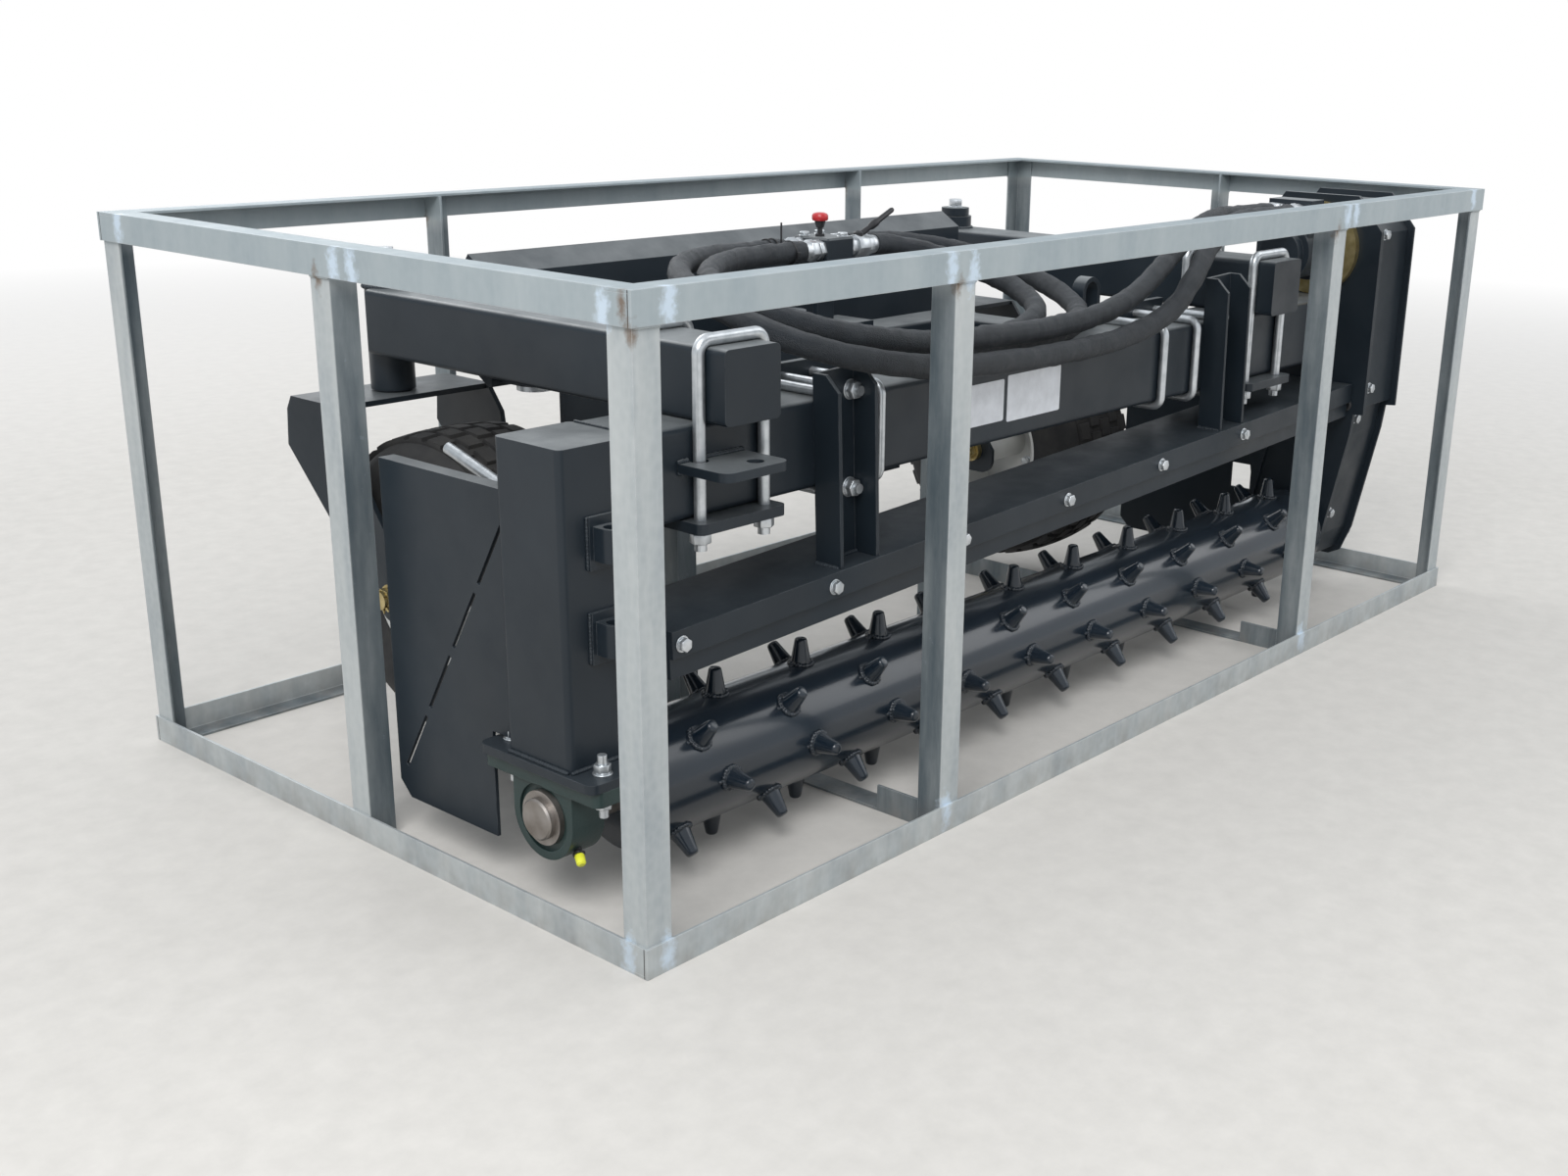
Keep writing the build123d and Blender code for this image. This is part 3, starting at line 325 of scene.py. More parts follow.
def bearingEnamel():
    s = Shade("bearingEnamel")
    edge, soft = s.rounded(0.002)
    # edges lightened by a share of 0.4, partly wear and partly painted highlight
    s.set(colour=s.mix(s.maths("MULTIPLY", edge, 0.4),
                       s.ramp(s.noise(25.0, 5), [(0.3, (0.010, 0.025, 0.024)), (0.8, (0.021, 0.044, 0.041))]),
                       (0.06, 0.10, 0.095)),
          roughness=s.remap(s.noise(50.0, 4), 0.35, 0.6))
    s.height(s.noise(260.0, 4), 0.35, 0.0008, soft)
    return s.mat


def tyreRubber():
    s = Shade("tyreRubber")
    dusty = s.remap(s.noise(16.0, 8, 0.65), 0.0, 0.7, 0.4, 0.8)
    s.set(colour=s.mix(dusty, (0.020, 0.020, 0.021), (0.060, 0.056, 0.051)),
          roughness=s.remap(s.noise(30.0, 4), 0.62, 0.88))
    s.height(s.noise(350.0, 4), 0.2, 0.0006)
    return s.mat


def rimWhite():
    s = Shade("rimWhite")
    s.set(colour=s.ramp(s.noise(9.0, 5), [(0.3, (0.60, 0.60, 0.58)), (0.8, (0.76, 0.76, 0.74))]),
          roughness=s.remap(s.noise(20.0, 4), 0.25, 0.45))
    s.height(s.noise(240.0, 3), 0.08, 0.0004)
    return s.mat


def hoseSleeve():
    s = Shade("wovenSleeve")
    tone = s.ramp(s.noise(32.0, 7, 0.6), [(0.3, (0.0050, 0.0080, 0.0120)), (0.75, (0.0120, 0.0170, 0.0235))])
    scuff = s.remap(s.noise(14.0, 8, 0.7), 0.0, 0.5, 0.62, 0.85)
    s.set(colour=s.mix(scuff, tone, (0.026, 0.033, 0.040)), sheen=0.05,
          roughness=s.remap(s.noise(60.0, 4), 0.42, 0.62))
    folds = s.maths("MULTIPLY", s.noise(46.0, 5, 0.6), 3.0)
    s.height(s.maths("ADD", folds, s.cells(800.0)), 0.60, 0.0024)
    return s.mat


def enamel(name, colour, roughness):
    s = Shade(name)
    low = tuple(0.82 * c for c in colour)
    s.set(colour=s.ramp(s.noise(45.0, 5), [(0.3, low), (0.7, colour)]),
          roughness=s.remap(s.noise(60.0, 4), roughness - 0.08, roughness + 0.10))
    s.height(s.noise(420.0, 3), 0.08, 0.0003)
    return s.mat


finishes = {
    "black_paint": paintBlack(), "drum_paint": paintDrum(), "galvanised": galvanised(),
    "zinc_hardware": zincPlate("brightZinc", (0.50, 0.53, 0.55), (0.72, 0.74, 0.76)),
    "gold_zinc": zincPlate("goldZinc", (0.40, 0.31, 0.13), (0.62, 0.51, 0.26)),
    "rod_chrome": zincPlate("rodChrome", (0.66, 0.67, 0.68), (0.80, 0.81, 0.82)),
    "bare_steel": turnedSteel(), "bearing_green": bearingEnamel(), "tyre": tyreRubber(),
    "white_rim": rimWhite(), "hose": hoseSleeve(),
}
redEnamel = enamel("knobRed", (0.55, 0.030, 0.035), 0.30)
yellowCap = enamel("capYellow", (0.78, 0.80, 0.05), 0.40)
labelVinyl = enamel("labelVinyl", (0.74, 0.76, 0.80), 0.35)
blackPlastic = enamel("blackPlastic", (0.016, 0.016, 0.018), 0.42)
slotOf = {part["node"]: part["material_slot"] for part in frame["record"]["subparts"]}
for name, node in nodes.items():
    node.data.materials.clear()
    node.data.materials.append(finishes[slotOf[name]])
print("materials given to the frame")


# modelling helpers
def clearSelection():
    if bpy.context.object and bpy.context.object.mode != "OBJECT":
        bpy.ops.object.mode_set(mode="OBJECT")
    bpy.ops.object.select_all(action="DESELECT")


def only(piece):
    clearSelection()
    piece.select_set(True)
    bpy.context.view_layer.objects.active = piece
    return piece


def settle(piece):
    # its place, turn and size go into the mesh
    only(piece)
    bpy.ops.object.transform_apply(location=True, rotation=True, scale=True)
    return piece


def pickFaces(piece, wanted):
    # edit mode with the faces selected for which wanted(centre, normal) holds
    only(piece)
    bpy.ops.object.mode_set(mode="EDIT")
    bpy.ops.mesh.select_mode(type="FACE")
    bpy.ops.mesh.select_all(action="DESELECT")
    mesh = bmesh.from_edit_mesh(piece.data)
    for face in mesh.faces:
        face.select_set(wanted(face.calc_center_median(), face.normal))
    bmesh.update_edit_mesh(piece.data)


def finishEdges(piece, width, segments=2, angle=35):
    only(piece)
    edges = piece.modifiers.new("edges", "BEVEL")
    edges.width, edges.segments = width, segments
    edges.limit_method, edges.angle_limit = "ANGLE", math.radians(angle)
    bpy.ops.object.modifier_apply(modifier="edges")
    bpy.ops.object.shade_smooth_by_angle(angle=math.radians(angle))
    return piece


def prism(corners, radius, low, high, chamfer=0.0):
    # round or hexagonal bar along Z from low to high, its upper rim chamfered
    clearSelection()
    bpy.ops.mesh.primitive_cylinder_add(vertices=corners, radius=radius, depth=high - low,
                                        location=(0, 0, (low + high) / 2))
    bar = settle(bpy.context.object)
    if chamfer:
        pickFaces(bar, lambda centre, normal: normal.z > 0.9)
        bpy.ops.mesh.bevel(offset=chamfer, segments=2, affect="EDGES")
        bpy.ops.object.mode_set(mode="OBJECT")
    return bar


def turned(profile, steps=28):
    # body of revolution about Z from (height, radius) points
    clearSelection()
    bpy.ops.mesh.primitive_plane_add(size=0.001)
    body = bpy.context.object
    bpy.ops.object.mode_set(mode="EDIT")
    bpy.ops.mesh.select_mode(type="VERT")
    bpy.ops.mesh.select_all(action="SELECT")
    bpy.ops.mesh.merge(type="CENTER")
    bpy.ops.transform.translate(value=(profile[0][1], 0, profile[0][0]))
    for (z0, r0), (z1, r1) in zip(profile, profile[1:]):
        bpy.ops.mesh.extrude_vertices_move(TRANSFORM_OT_translate={"value": (r1 - r0, 0, z1 - z0)})
    bpy.ops.mesh.select_all(action="SELECT")
    bpy.ops.mesh.spin(steps=steps, angle=2 * math.pi, center=(0, 0, 0), axis=(0, 0, 1))
    bpy.ops.mesh.select_all(action="SELECT")
    bpy.ops.mesh.remove_doubles(threshold=1e-5)
    bpy.ops.mesh.normals_make_consistent(inside=False)
    bpy.ops.object.mode_set(mode="OBJECT")
    bpy.ops.object.shade_smooth_by_angle(angle=math.radians(35))
    return body


def slab(lowCorner, highCorner, corner, axis):
    # box whose four edges along the axis are rounded
    clearSelection()
    middle = [(a + b) / 2 for a, b in zip(lowCorner, highCorner)]
    bpy.ops.mesh.primitive_cube_add(size=1, location=middle)
    box = bpy.context.object
    box.scale = [b - a for a, b in zip(lowCorner, highCorner)]
    settle(box)
    bpy.ops.object.mode_set(mode="EDIT")
    bpy.ops.mesh.select_mode(type="EDGE")
    bpy.ops.mesh.select_all(action="DESELECT")
    mesh = bmesh.from_edit_mesh(box.data)
    for edge in mesh.edges:
        way = edge.verts[1].co - edge.verts[0].co
        edge.select_set(abs(way["XYZ".index(axis)]) > 0.9 * way.length)
    bmesh.update_edit_mesh(box.data)
    bpy.ops.mesh.bevel(offset=corner, segments=5, affect="EDGES")
    bpy.ops.object.mode_set(mode="OBJECT")
    bpy.ops.object.shade_smooth_by_angle(angle=math.radians(35))
    return box


def join(parts):
    clearSelection()
    for part in parts:
        part.select_set(True)
    bpy.context.view_layer.objects.active = parts[0]
    if len(parts) > 1:
        bpy.ops.object.join()
    return bpy.context.view_layer.objects.active


def copyOf(template, place, way=(0, 0, 1), spin=0.0, size=(1, 1, 1)):
    # a copy with its own mesh, its Z turned to the way
    twin = template.copy()
    twin.data = template.data.copy()
    bpy.context.scene.collection.objects.link(twin)
    turn = Vector(way).to_track_quat("Z", "Y").to_matrix().to_4x4() @ Matrix.Rotation(spin, 4, "Z")
    twin.data.transform(Matrix.Translation(place) @ turn @ Matrix.Diagonal((*size, 1.0)))
    return twin


def finishPiece(name, parts, body, slotName, material=None):
    # joins the parts into one named piece that rides on the body
    piece = join(parts)
    piece.name = name
    piece.data.name = name
    piece.data.materials.clear()
    piece.data.materials.append(material or finishes[slotName])
    for face in piece.data.polygons:
        face.material_index = 0
    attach(piece, body)
    return piece


def discard(*templates):
    for template in templates:
        bpy.data.objects.remove(template)


# nuts and bolts
def makeNut(size):
    foot = size["thick"] * 1.8
    washer = finishEdges(prism(28, size["washer"], 0, size["thick"]), 0.0005, 1)
    ring = prism(24, size["washer"] * 0.80, size["thick"], foot)
    hexagon = prism(6, size["hex"], foot, foot + size["height"], size["hex"] * 0.10)
    parts = [washer, finishEdges(ring, 0.0004, 1), finishEdges(hexagon, 0.0005, 2)]
    if size["stub"]:
        tip = foot + size["height"] + size["stub"]
        parts.append(prism(20, size["hex"] * 0.55, foot, tip, size["hex"] * 0.09))
    return join(parts)


nutSizes = {  # across the corners / 2, height, washer radius and thickness, length of thread beyond the nut
    "m16": {"hex": 0.0139, "height": 0.0125, "washer": 0.0155, "thick": 0.0022, "stub": 0.0},
    "m14": {"hex": 0.0127, "height": 0.0105, "washer": 0.0142, "thick": 0.0018, "stub": 0.0},
    "m10": {"hex": 0.0094, "height": 0.0066, "washer": 0.0108, "thick": 0.0015, "stub": 0.0},
    "m10End": {"hex": 0.0094, "height": 0.0082, "washer": 0.0108, "thick": 0.0015, "stub": 0.005},
    "m12End": {"hex": 0.0110, "height": 0.0100, "washer": 0.0125, "thick": 0.0020, "stub": 0.012},
}
nuts = {name: makeNut(size) for name, size in nutSizes.items()}

# height of the barrier's lip at its left end, and its slope
barrier = {"height": 0.371, "leftEnd": -0.960, "slope": math.tan(math.radians(2.3))}


def barrierHeight(x):
    return barrier["height"] + (x - barrier["leftEnd"]) * barrier["slope"]


armX, clampFoot, rearFace, webFace = (-0.812, 0.556), 0.475, -0.268, -0.406
lipX = (-0.943, -0.661, -0.380, -0.113, 0.162, 0.435, 0.700)
coverBolts = ((-0.450, 0.720), (-0.450, 0.400), (-0.240, 0.700), (-0.240, 0.400),
              (-0.395, 0.110), (-0.283, 0.110), (-0.400, 0.785), (-0.290, 0.785))
hardware = []     # size, place, way that it faces
hardware += [("m16", (x + dx, y, clampFoot), (0, 0, -1))
             for x in armX for dx in (-0.0573, 0.0573) for y in (-0.4083, -0.2717)]
hardware += [("m14", (x, rearFace, z), (0, 1, 0)) for x in (-0.628, -0.522, 0.215, 0.320, -0.585, 0.385)
             for z in (0.6163, 0.4817)]
hardware += [("m14", (x, webFace, z), (0, -1, 0)) for x in (-0.585, 0.385) for z in (0.6163, 0.4817)]
hardware += [("m10", (x, -0.450, barrierHeight(x) - 0.019), (0, -1, 0)) for x in lipX]
hardware += [("m10End", (x, -0.438, barrierHeight(x) - 0.024), (0, 1, 0)) for x in lipX]
hardware += [("m12End", (-1.055, y, 0.207), (0, 0, 1)) for y in (-0.424, -0.253)]
hardware += [("m12End", (-1.055, y, 0.175), (0, 0, -1)) for y in (-0.424, -0.253)]
hardware += [("m10", (0.902, -0.464, z), (0, -1, 0)) for z in (0.728, 0.432)]
hardware += [("m10", (0.900, -0.4424, 0.369), (0, -0.994, -0.11)),
             ("m10", (0.900, -0.4071, 0.170), (0, -0.982, -0.19))]
hardware += [("m10", (0.875, -0.226, z), (0, 1, 0)) for z in (0.640, 0.432)]
hardware += [("m10", (1.010, y, z), (1, 0, 0)) for y, z in coverBolts]
hardware += [("m14", (0.848, y, z), (-1, 0, 0)) for y, z in ((-0.325, 0.766), (-0.365, 0.632))]
bolts = [copyOf(nuts[size], place, way, 0.35 + 0.9 * n) for n, (size, place, way) in enumerate(hardware)]
finishPiece("nuts_and_bolts", bolts, "frame", "zinc_hardware")

# nuts of the casters and wheels
wheelAxis = (0.137, 0.289)    # y and z
casterTop = (0.310, 0.744)
wheelNut = {"circle": 0.052, "inward": 0.003, "angles": (0.8, 2.37, 3.94, 5.51)}
casterX = dict(zip(("left_caster", "right_caster"), armX))
for body, x in casterX.items():
    finishPiece(body + "_cap_nut", [copyOf(nuts["m16"], (x, *casterTop), (0, 0, 1), 0.3)], body, "zinc_hardware")
    wheel = body.replace("caster", "wheel")
    wheelNuts = []
    for side in (1, -1):
        for a in wheelNut["angles"]:
            place = (x - wheelNut["inward"] * side, wheelAxis[0] + wheelNut["circle"] * math.cos(a),
                     wheelAxis[1] + wheelNut["circle"] * math.sin(a))
            wheelNuts.append(copyOf(nuts["m10"], place, (-side, 0, 0), a))
    finishPiece(wheel + "_nuts", wheelNuts, wheel, "zinc_hardware")
print("nuts and bolts made")


# axle nuts: castle nuts with a split pin
castle = {"radius": 0.0165, "height": 0.016, "slot": 0.0045, "pin": 0.0016, "pinReach": 0.030, "outward": 0.151}


def makeCastleNut():
    nut = prism(6, castle["radius"], 0, castle["height"] * 0.65, 0.0012)
    crown = prism(24, castle["radius"] * 0.82, castle["height"] * 0.65, castle["height"])
    pickFaces(crown, lambda centre, normal: abs(normal.z) < 0.2
              and int((math.atan2(centre.y, centre.x) + math.pi) / (math.pi / 12)) % 4 == 0)
    bpy.ops.mesh.inset(thickness=0.0006, depth=-castle["slot"] * 0.6)
    bpy.ops.object.mode_set(mode="OBJECT")
    pin = prism(8, castle["pin"], -0.020, castle["pinReach"])
    split = [copyOf(pin, (0, 0.0, castle["height"] * 0.85), (lean, 1, 0.15)) for lean in (-0.35, 0.25)]
    discard(pin)
    return join([nut, crown] + split)


castleNut = makeCastleNut()
for body, x in casterX.items():
    ends = [copyOf(castleNut, (x + side * castle["outward"], *wheelAxis), (side, 0, 0), 0.4) for side in (-1, 1)]
    finishPiece(body + "_axle_nuts", ends, body, "gold_zinc")
discard(castleNut)
print("axle nuts made")

# tyres with block tread
tread = {"steps": 128, "rows": (-0.064, -0.032, 0.0, 0.032, 0.064), "halfBlock": 0.0138, "rise": 0.0055,
         "crown": 0.2280, "bead": (0.070, 0.1040),
         "shoulder": [(0.0775, 0.2135), (0.0900, 0.2065), (0.0975, 0.1960)],
         "wall": [(0.1010, 0.1800), (0.1022, 0.1600), (0.1012, 0.1560), (0.1020, 0.1500), (0.0985, 0.1300),
                  (0.0965, 0.1180), (0.0880, 0.1090), (0.0805, 0.1040)]}


def treadTyre(name, place, body, node):
    edges = sorted(x + way * tread["halfBlock"] for x in tread["rows"] for way in (-1, 1))
    base = [(x, tread["crown"] - tread["rise"] - 0.9 * x * x) for x in edges]
    side = tread["shoulder"] + tread["wall"]
    profile = [(-x, r) for x, r in reversed(side)] + base + side
    inside, bore = tread["bead"]
    profile += [(inside, bore), (-inside, bore), profile[0]]
    tyre = turned(profile, tread["steps"])
    step = 2 * math.pi / tread["steps"]

    def inBlock(centre, normal):
        if math.hypot(centre.x, centre.y) < tread["shoulder"][0][1]:
            return False
        for row, x in enumerate(tread["rows"]):
            if abs(centre.z - x) < tread["halfBlock"] * 0.6:
                turn = int((math.atan2(centre.y, centre.x) + math.pi) / step)
                return (turn + 2 * (row % 2)) % 4 != 0
        return False

    pickFaces(tyre, inBlock)
    bpy.ops.mesh.inset(thickness=0.0012, depth=tread["rise"])
    bpy.ops.object.mode_set(mode="OBJECT")
    finished = copyOf(tyre, place, (1, 0, 0))
    discard(tyre)
    piece = finishPiece(name, [finished], body, "tyre")
    bpy.ops.object.shade_smooth_by_angle(angle=math.radians(32))
    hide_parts(node)


treadTyre("left_tread_tyre", (armX[0], *wheelAxis), "left_wheel", "left_tyre")
treadTyre("right_tread_tyre", (armX[1], *wheelAxis), "right_wheel", "right_tyre")
print("tyres made")

# drum studs: turned cones on their weld beads
studs = {"drumRadius": 0.084, "axis": (-0.3385, 0.1315), "pitch": 0.171, "endRoom": 0.027,
         "rows": ((0, 0.127), (45, 0.093), (90, 0.181), (135, 0.040), (180, 0.076), (225, 0.109), (270, 0.171),
                  (315, 0.054)),  # angle, distance of the first stud from the drum's left end
         "cone": [(-0.0045, 0.0), (-0.0045, 0.0152), (0.0030, 0.0150), (0.0100, 0.0132), (0.0330, 0.0092),
                  (0.0358, 0.0084), (0.0374, 0.0066), (0.0380, 0.0040), (0.0380, 0.0)],
         "beadRing": 0.0158, "beadRadius": 0.0031, "wing": (0.0215, 0.0042)}
cone = turned(studs["cone"], 22)
clearSelection()
bpy.ops.mesh.primitive_uv_sphere_add(segments=8, ring_count=5, radius=studs["beadRadius"])
blob = settle(bpy.context.object)
bpy.ops.object.shade_smooth()
around = [2 * math.pi * n / 20 for n in range(20)]


def onDrum(y):
    # height of the drum's skin below the stud's foot plane
    return math.sqrt(studs["drumRadius"] ** 2 - y * y) - studs["drumRadius"]


ringParts = []
for n, a in enumerate(around):
    x, y = studs["beadRing"] * math.cos(a), studs["beadRing"] * math.sin(a)
    size = 0.95 + 0.35 * ((n * 7) % 5) / 4
    ringParts.append(copyOf(blob, (x, y, onDrum(y) + 0.0012), (0, 0, 1), a, (size, size * 1.1, size)))
for side in (-1, 1):
    ringParts.append(copyOf(blob, (side * studs["wing"][0] * 0.88, 0, 0.0002), (0, 0, 1), 0.0, (1.8, 0.95, 0.8)))
studTemplate = join([cone, *ringParts])
discard(blob)
drumEnds = [vertex.co.x for vertex in nodes["drum_tube"].data.vertices]
drumLeft, drumRight = min(drumEnds), max(drumEnds)
studCopies = []
for angle, first in studs["rows"]:
    way = (0, -math.cos(math.radians(angle)), math.sin(math.radians(angle)))
    x = drumLeft + first
    while x < drumRight - studs["endRoom"]:
        foot = (x, studs["axis"][0] + way[1] * studs["drumRadius"], studs["axis"][1] + way[2] * studs["drumRadius"])
        # the template's X lies along the drum
        turn = Matrix((Vector((1, 0, 0)), Vector(way).cross(Vector((1, 0, 0))), Vector(way))).transposed().to_4x4()
        twin = copyOf(studTemplate, (0, 0, 0))
        twin.data.transform(Matrix.Translation(foot) @ turn)
        studCopies.append(twin)
        x += studs["pitch"]
studPiece = finishPiece("welded_drum_studs", studCopies, "drum", "drum_paint")
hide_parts("drum_studs")
discard(studTemplate)
print("drum studs made:", len(studCopies))

# hydraulic hoses in woven sleeves
hoseRadius = 0.017
creases = {"scale": 0.024, "depth": 0.0052}
hoseRoutes = {
    "hose_front": [
        (-0.262, 0.023, 0.742), (-0.330, 0.023, 0.742), (-0.448, 0.009, 0.746), (-0.560, -0.050, 0.746),
        (-0.652, -0.150, 0.740), (-0.700, -0.268, 0.722), (-0.690, -0.385, 0.690), (-0.590, -0.455, 0.658),
        (-0.440, -0.462, 0.634), (-0.270, -0.452, 0.622), (-0.100, -0.446, 0.618), (0.060, -0.446, 0.624),
        (0.180, -0.444, 0.652), (0.265, -0.430, 0.704), (0.360, -0.402, 0.752), (0.480, -0.372, 0.774),
        (0.600, -0.366, 0.772), (0.692, -0.366, 0.772)],
    "hose_return": [
        (-0.262, -0.019, 0.742), (-0.318, -0.019, 0.742), (-0.420, -0.032, 0.744), (-0.520, -0.076, 0.742),
        (-0.602, -0.150, 0.738), (-0.652, -0.258, 0.728), (-0.648, -0.360, 0.706), (-0.562, -0.418, 0.682),
        (-0.440, -0.424, 0.664), (-0.290, -0.418, 0.656), (-0.140, -0.410, 0.650), (0.000, -0.406, 0.654),
        (0.120, -0.402, 0.674), (0.220, -0.392, 0.716), (0.340, -0.366, 0.758), (0.470, -0.336, 0.778),
        (0.600, -0.324, 0.772), (0.692, -0.324, 0.772)],
    "hose_supply": [
        (-0.110, 0.023, 0.742), (-0.060, 0.023, 0.741), (-0.020, 0.018, 0.739), (0.025, 0.006, 0.736),
        (0.077, -0.031, 0.728), (0.113, -0.084, 0.714), (0.132, -0.144, 0.698), (0.132, -0.208, 0.681),
        (0.114, -0.270, 0.664), (0.077, -0.324, 0.650), (0.019, -0.363, 0.639), (-0.050, -0.375, 0.631),
        (-0.116, -0.373, 0.627), (-0.184, -0.374, 0.6275), (-0.254, -0.373, 0.627), (-0.322, -0.373, 0.627)],
    "hose_drain": [
        (-0.088, -0.019, 0.742), (-0.050, -0.024, 0.740), (-0.009, -0.055, 0.730), (0.022, -0.097, 0.717),
        (0.038, -0.146, 0.702), (0.040, -0.198, 0.687), (0.028, -0.248, 0.673), (0.001, -0.292, 0.660),
        (-0.041, -0.322, 0.649), (-0.091, -0.335, 0.641), (-0.143, -0.338, 0.634), (-0.201, -0.336, 0.627),
        (-0.258, -0.336, 0.627)],
}


def routeCurve(name, route):
    curve = bpy.data.curves.new(name, "CURVE")
    curve.dimensions = "3D"
    curve.resolution_u = 14
    spline = curve.splines.new("NURBS")
    spline.points.add(len(route) - 1)
    for point, place in zip(spline.points, route):
        point.co = (*place, 1.0)
    spline.order_u = 3
    spline.use_endpoint_u = True
    holder = bpy.data.objects.new(name, curve)
    bpy.context.scene.collection.objects.link(holder)
    return holder


def layHose(name):
    route = hoseRoutes[name]
    holder = routeCurve(name + "_sleeve", route)
    bpy.context.view_layer.update()
    line = bpy.data.meshes.new_from_object(holder)
    bpy.data.meshes.remove(line)
    holder.data.bevel_depth = hoseRadius
    holder.data.bevel_resolution = 5
    holder.data.use_fill_caps = True
    only(holder)
    bpy.ops.object.convert(target="MESH")
    hose = bpy.context.object
    bpy.ops.object.mode_set(mode="EDIT")
    bpy.ops.mesh.select_all(action="SELECT")
    bpy.ops.mesh.remove_doubles(threshold=1e-5)
    bpy.ops.mesh.normals_make_consistent(inside=False)
    bpy.ops.object.mode_set(mode="OBJECT")
    folds = bpy.data.textures.new(name + "Folds", "CLOUDS")
    folds.noise_scale = creases["scale"]
    crumple = hose.modifiers.new("crumple", "DISPLACE")
    crumple.texture, crumple.texture_coords = folds, "LOCAL"
    crumple.strength, crumple.mid_level = creases["depth"], 0.5
    bpy.ops.object.modifier_apply(modifier="crumple")
    bpy.ops.object.shade_smooth()
    finishPiece(name + "_sleeve", [hose], "frame", "hose")
    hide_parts(name)


layHose("hose_front")
layHose("hose_return")
layHose("hose_supply")
layHose("hose_drain")
print("hoses laid")

# hose fittings
fitting = {"reach": {"plain": 0.044, "valve": 0.066}, "overlap": 0.004, "adaptor": 0.0165, "neck": 0.0115,
           "ball": 0.0190, "swivelNut": 0.0180, "ferrule": 0.0150, "lip": 0.0158}


def makeFitting(kind):
    # adaptor, neck, ball valve's body, swivel nut and ferrule, from the seat outward
    parts = [prism(6, fitting["adaptor"], 0, 0.012, 0.0012), prism(20, fitting["neck"], 0.012, 0.016)]
    at = 0.016
    if kind == "valve":
        parts += [prism(8, fitting["ball"], at, at + 0.026, 0.002)]
        at += 0.022
    parts += [prism(6, fitting["swivelNut"], at, at + 0.016, 0.0014)]
    at += 0.016
    end = fitting["reach"][kind] + fitting["overlap"]
    wide, lip = fitting["ferrule"], fitting["lip"]
    parts += [turned([(at, 0.0), (at, wide), (at + 0.003, lip), (at + 0.006, wide), (end, wide), (end, 0.0)])]
    for part in parts:
        finishEdges(part, 0.0004, 1)
    return join(parts)


fittings = {kind: makeFitting(kind) for kind in fitting["reach"]}
fittingTable = [  # kind, place of its seat, way
    ("plain", (-0.218, 0.023, 0.742), (-1, 0, 0)), ("plain", (-0.218, -0.019, 0.742), (-1, 0, 0)),
    ("plain", (-0.154, 0.023, 0.742), (1, 0, 0)), ("valve", (-0.154, -0.019, 0.742), (1, 0, 0)),
    ("plain", (0.736, -0.366, 0.772), (-1, 0, 0)), ("plain", (0.736, -0.324, 0.772), (-1, 0, 0)),
]
ends = [copyOf(fittings[kind], place, way, 0.3 * n) for n, (kind, place, way) in enumerate(fittingTable)]
finishPiece("hose_fittings", ends, "frame", "zinc_hardware")
discard(*fittings.values())

plug = makeNut({"hex": 0.0085, "height": 0.0045, "washer": 0.0095, "thick": 0.0012, "stub": 0.0})
plugPlaces = ((-0.207, 0.026, 0.760), (-0.168, 0.028, 0.760), (-0.170, -0.024, 0.760))
plugs = [copyOf(plug, place, (0, 0, 1), 0.4 * n) for n, place in enumerate(plugPlaces)]
finishPiece("valve_plugs", plugs, "frame", "zinc_hardware")
discard(plug)

# cable ties on the two left hoses
ties = {"ring": 0.0182, "strap": 0.0015, "tail": 0.045,
        "places": ((-0.287, 0.023, 0.742), (-0.300, 0.023, 0.742), (-0.292, -0.019, 0.742))}
tieParts = []
for x, y, z in ties["places"]:
    clearSelection()
    bpy.ops.mesh.primitive_torus_add(major_segments=36, minor_segments=6, major_radius=ties["ring"],
                                     minor_radius=ties["strap"], location=(x, y, z), rotation=(0, math.pi / 2, 0))
    ring = settle(bpy.context.object)
    bpy.ops.object.shade_smooth()
    head = slab((x - 0.0030, y - 0.0225, z - 0.003), (x + 0.0030, y - 0.0170, z + 0.003), 0.0008, "X")
    tieParts += [ring, head]
    if (x, y, z) == ties["places"][0]:
        tail = slab((x - 0.0018, y - 0.0215, z + 0.002), (x + 0.0018, y - 0.0203, z + ties["tail"]), 0.0004, "Z")
        tieParts.append(tail)
finishPiece("hose_ties", tieParts, "frame", "hose", blackPlastic)

# valve knob and lever
knob = {"place": (-0.196, 0.002, 0.760),
        "stem": [(0.0, 0.0), (0.0, 0.0075), (0.004, 0.0075), (0.005, 0.0042), (0.013, 0.0042), (0.014, 0.0062),
                 (0.026, 0.0096), (0.026, 0.0)],
        "cap": [(0.025, 0.0), (0.025, 0.0118), (0.0275, 0.0134), (0.033, 0.0132), (0.036, 0.0112), (0.0375, 0.0064),
                (0.038, 0.0)]}
stem = turned(knob["stem"])
finishPiece("knob_stem", [copyOf(stem, knob["place"])], "frame", "black_paint", blackPlastic)
cap = turned(knob["cap"])
finishPiece("knob_cap", [copyOf(cap, knob["place"])], "frame", "black_paint", redEnamel)
discard(stem, cap)

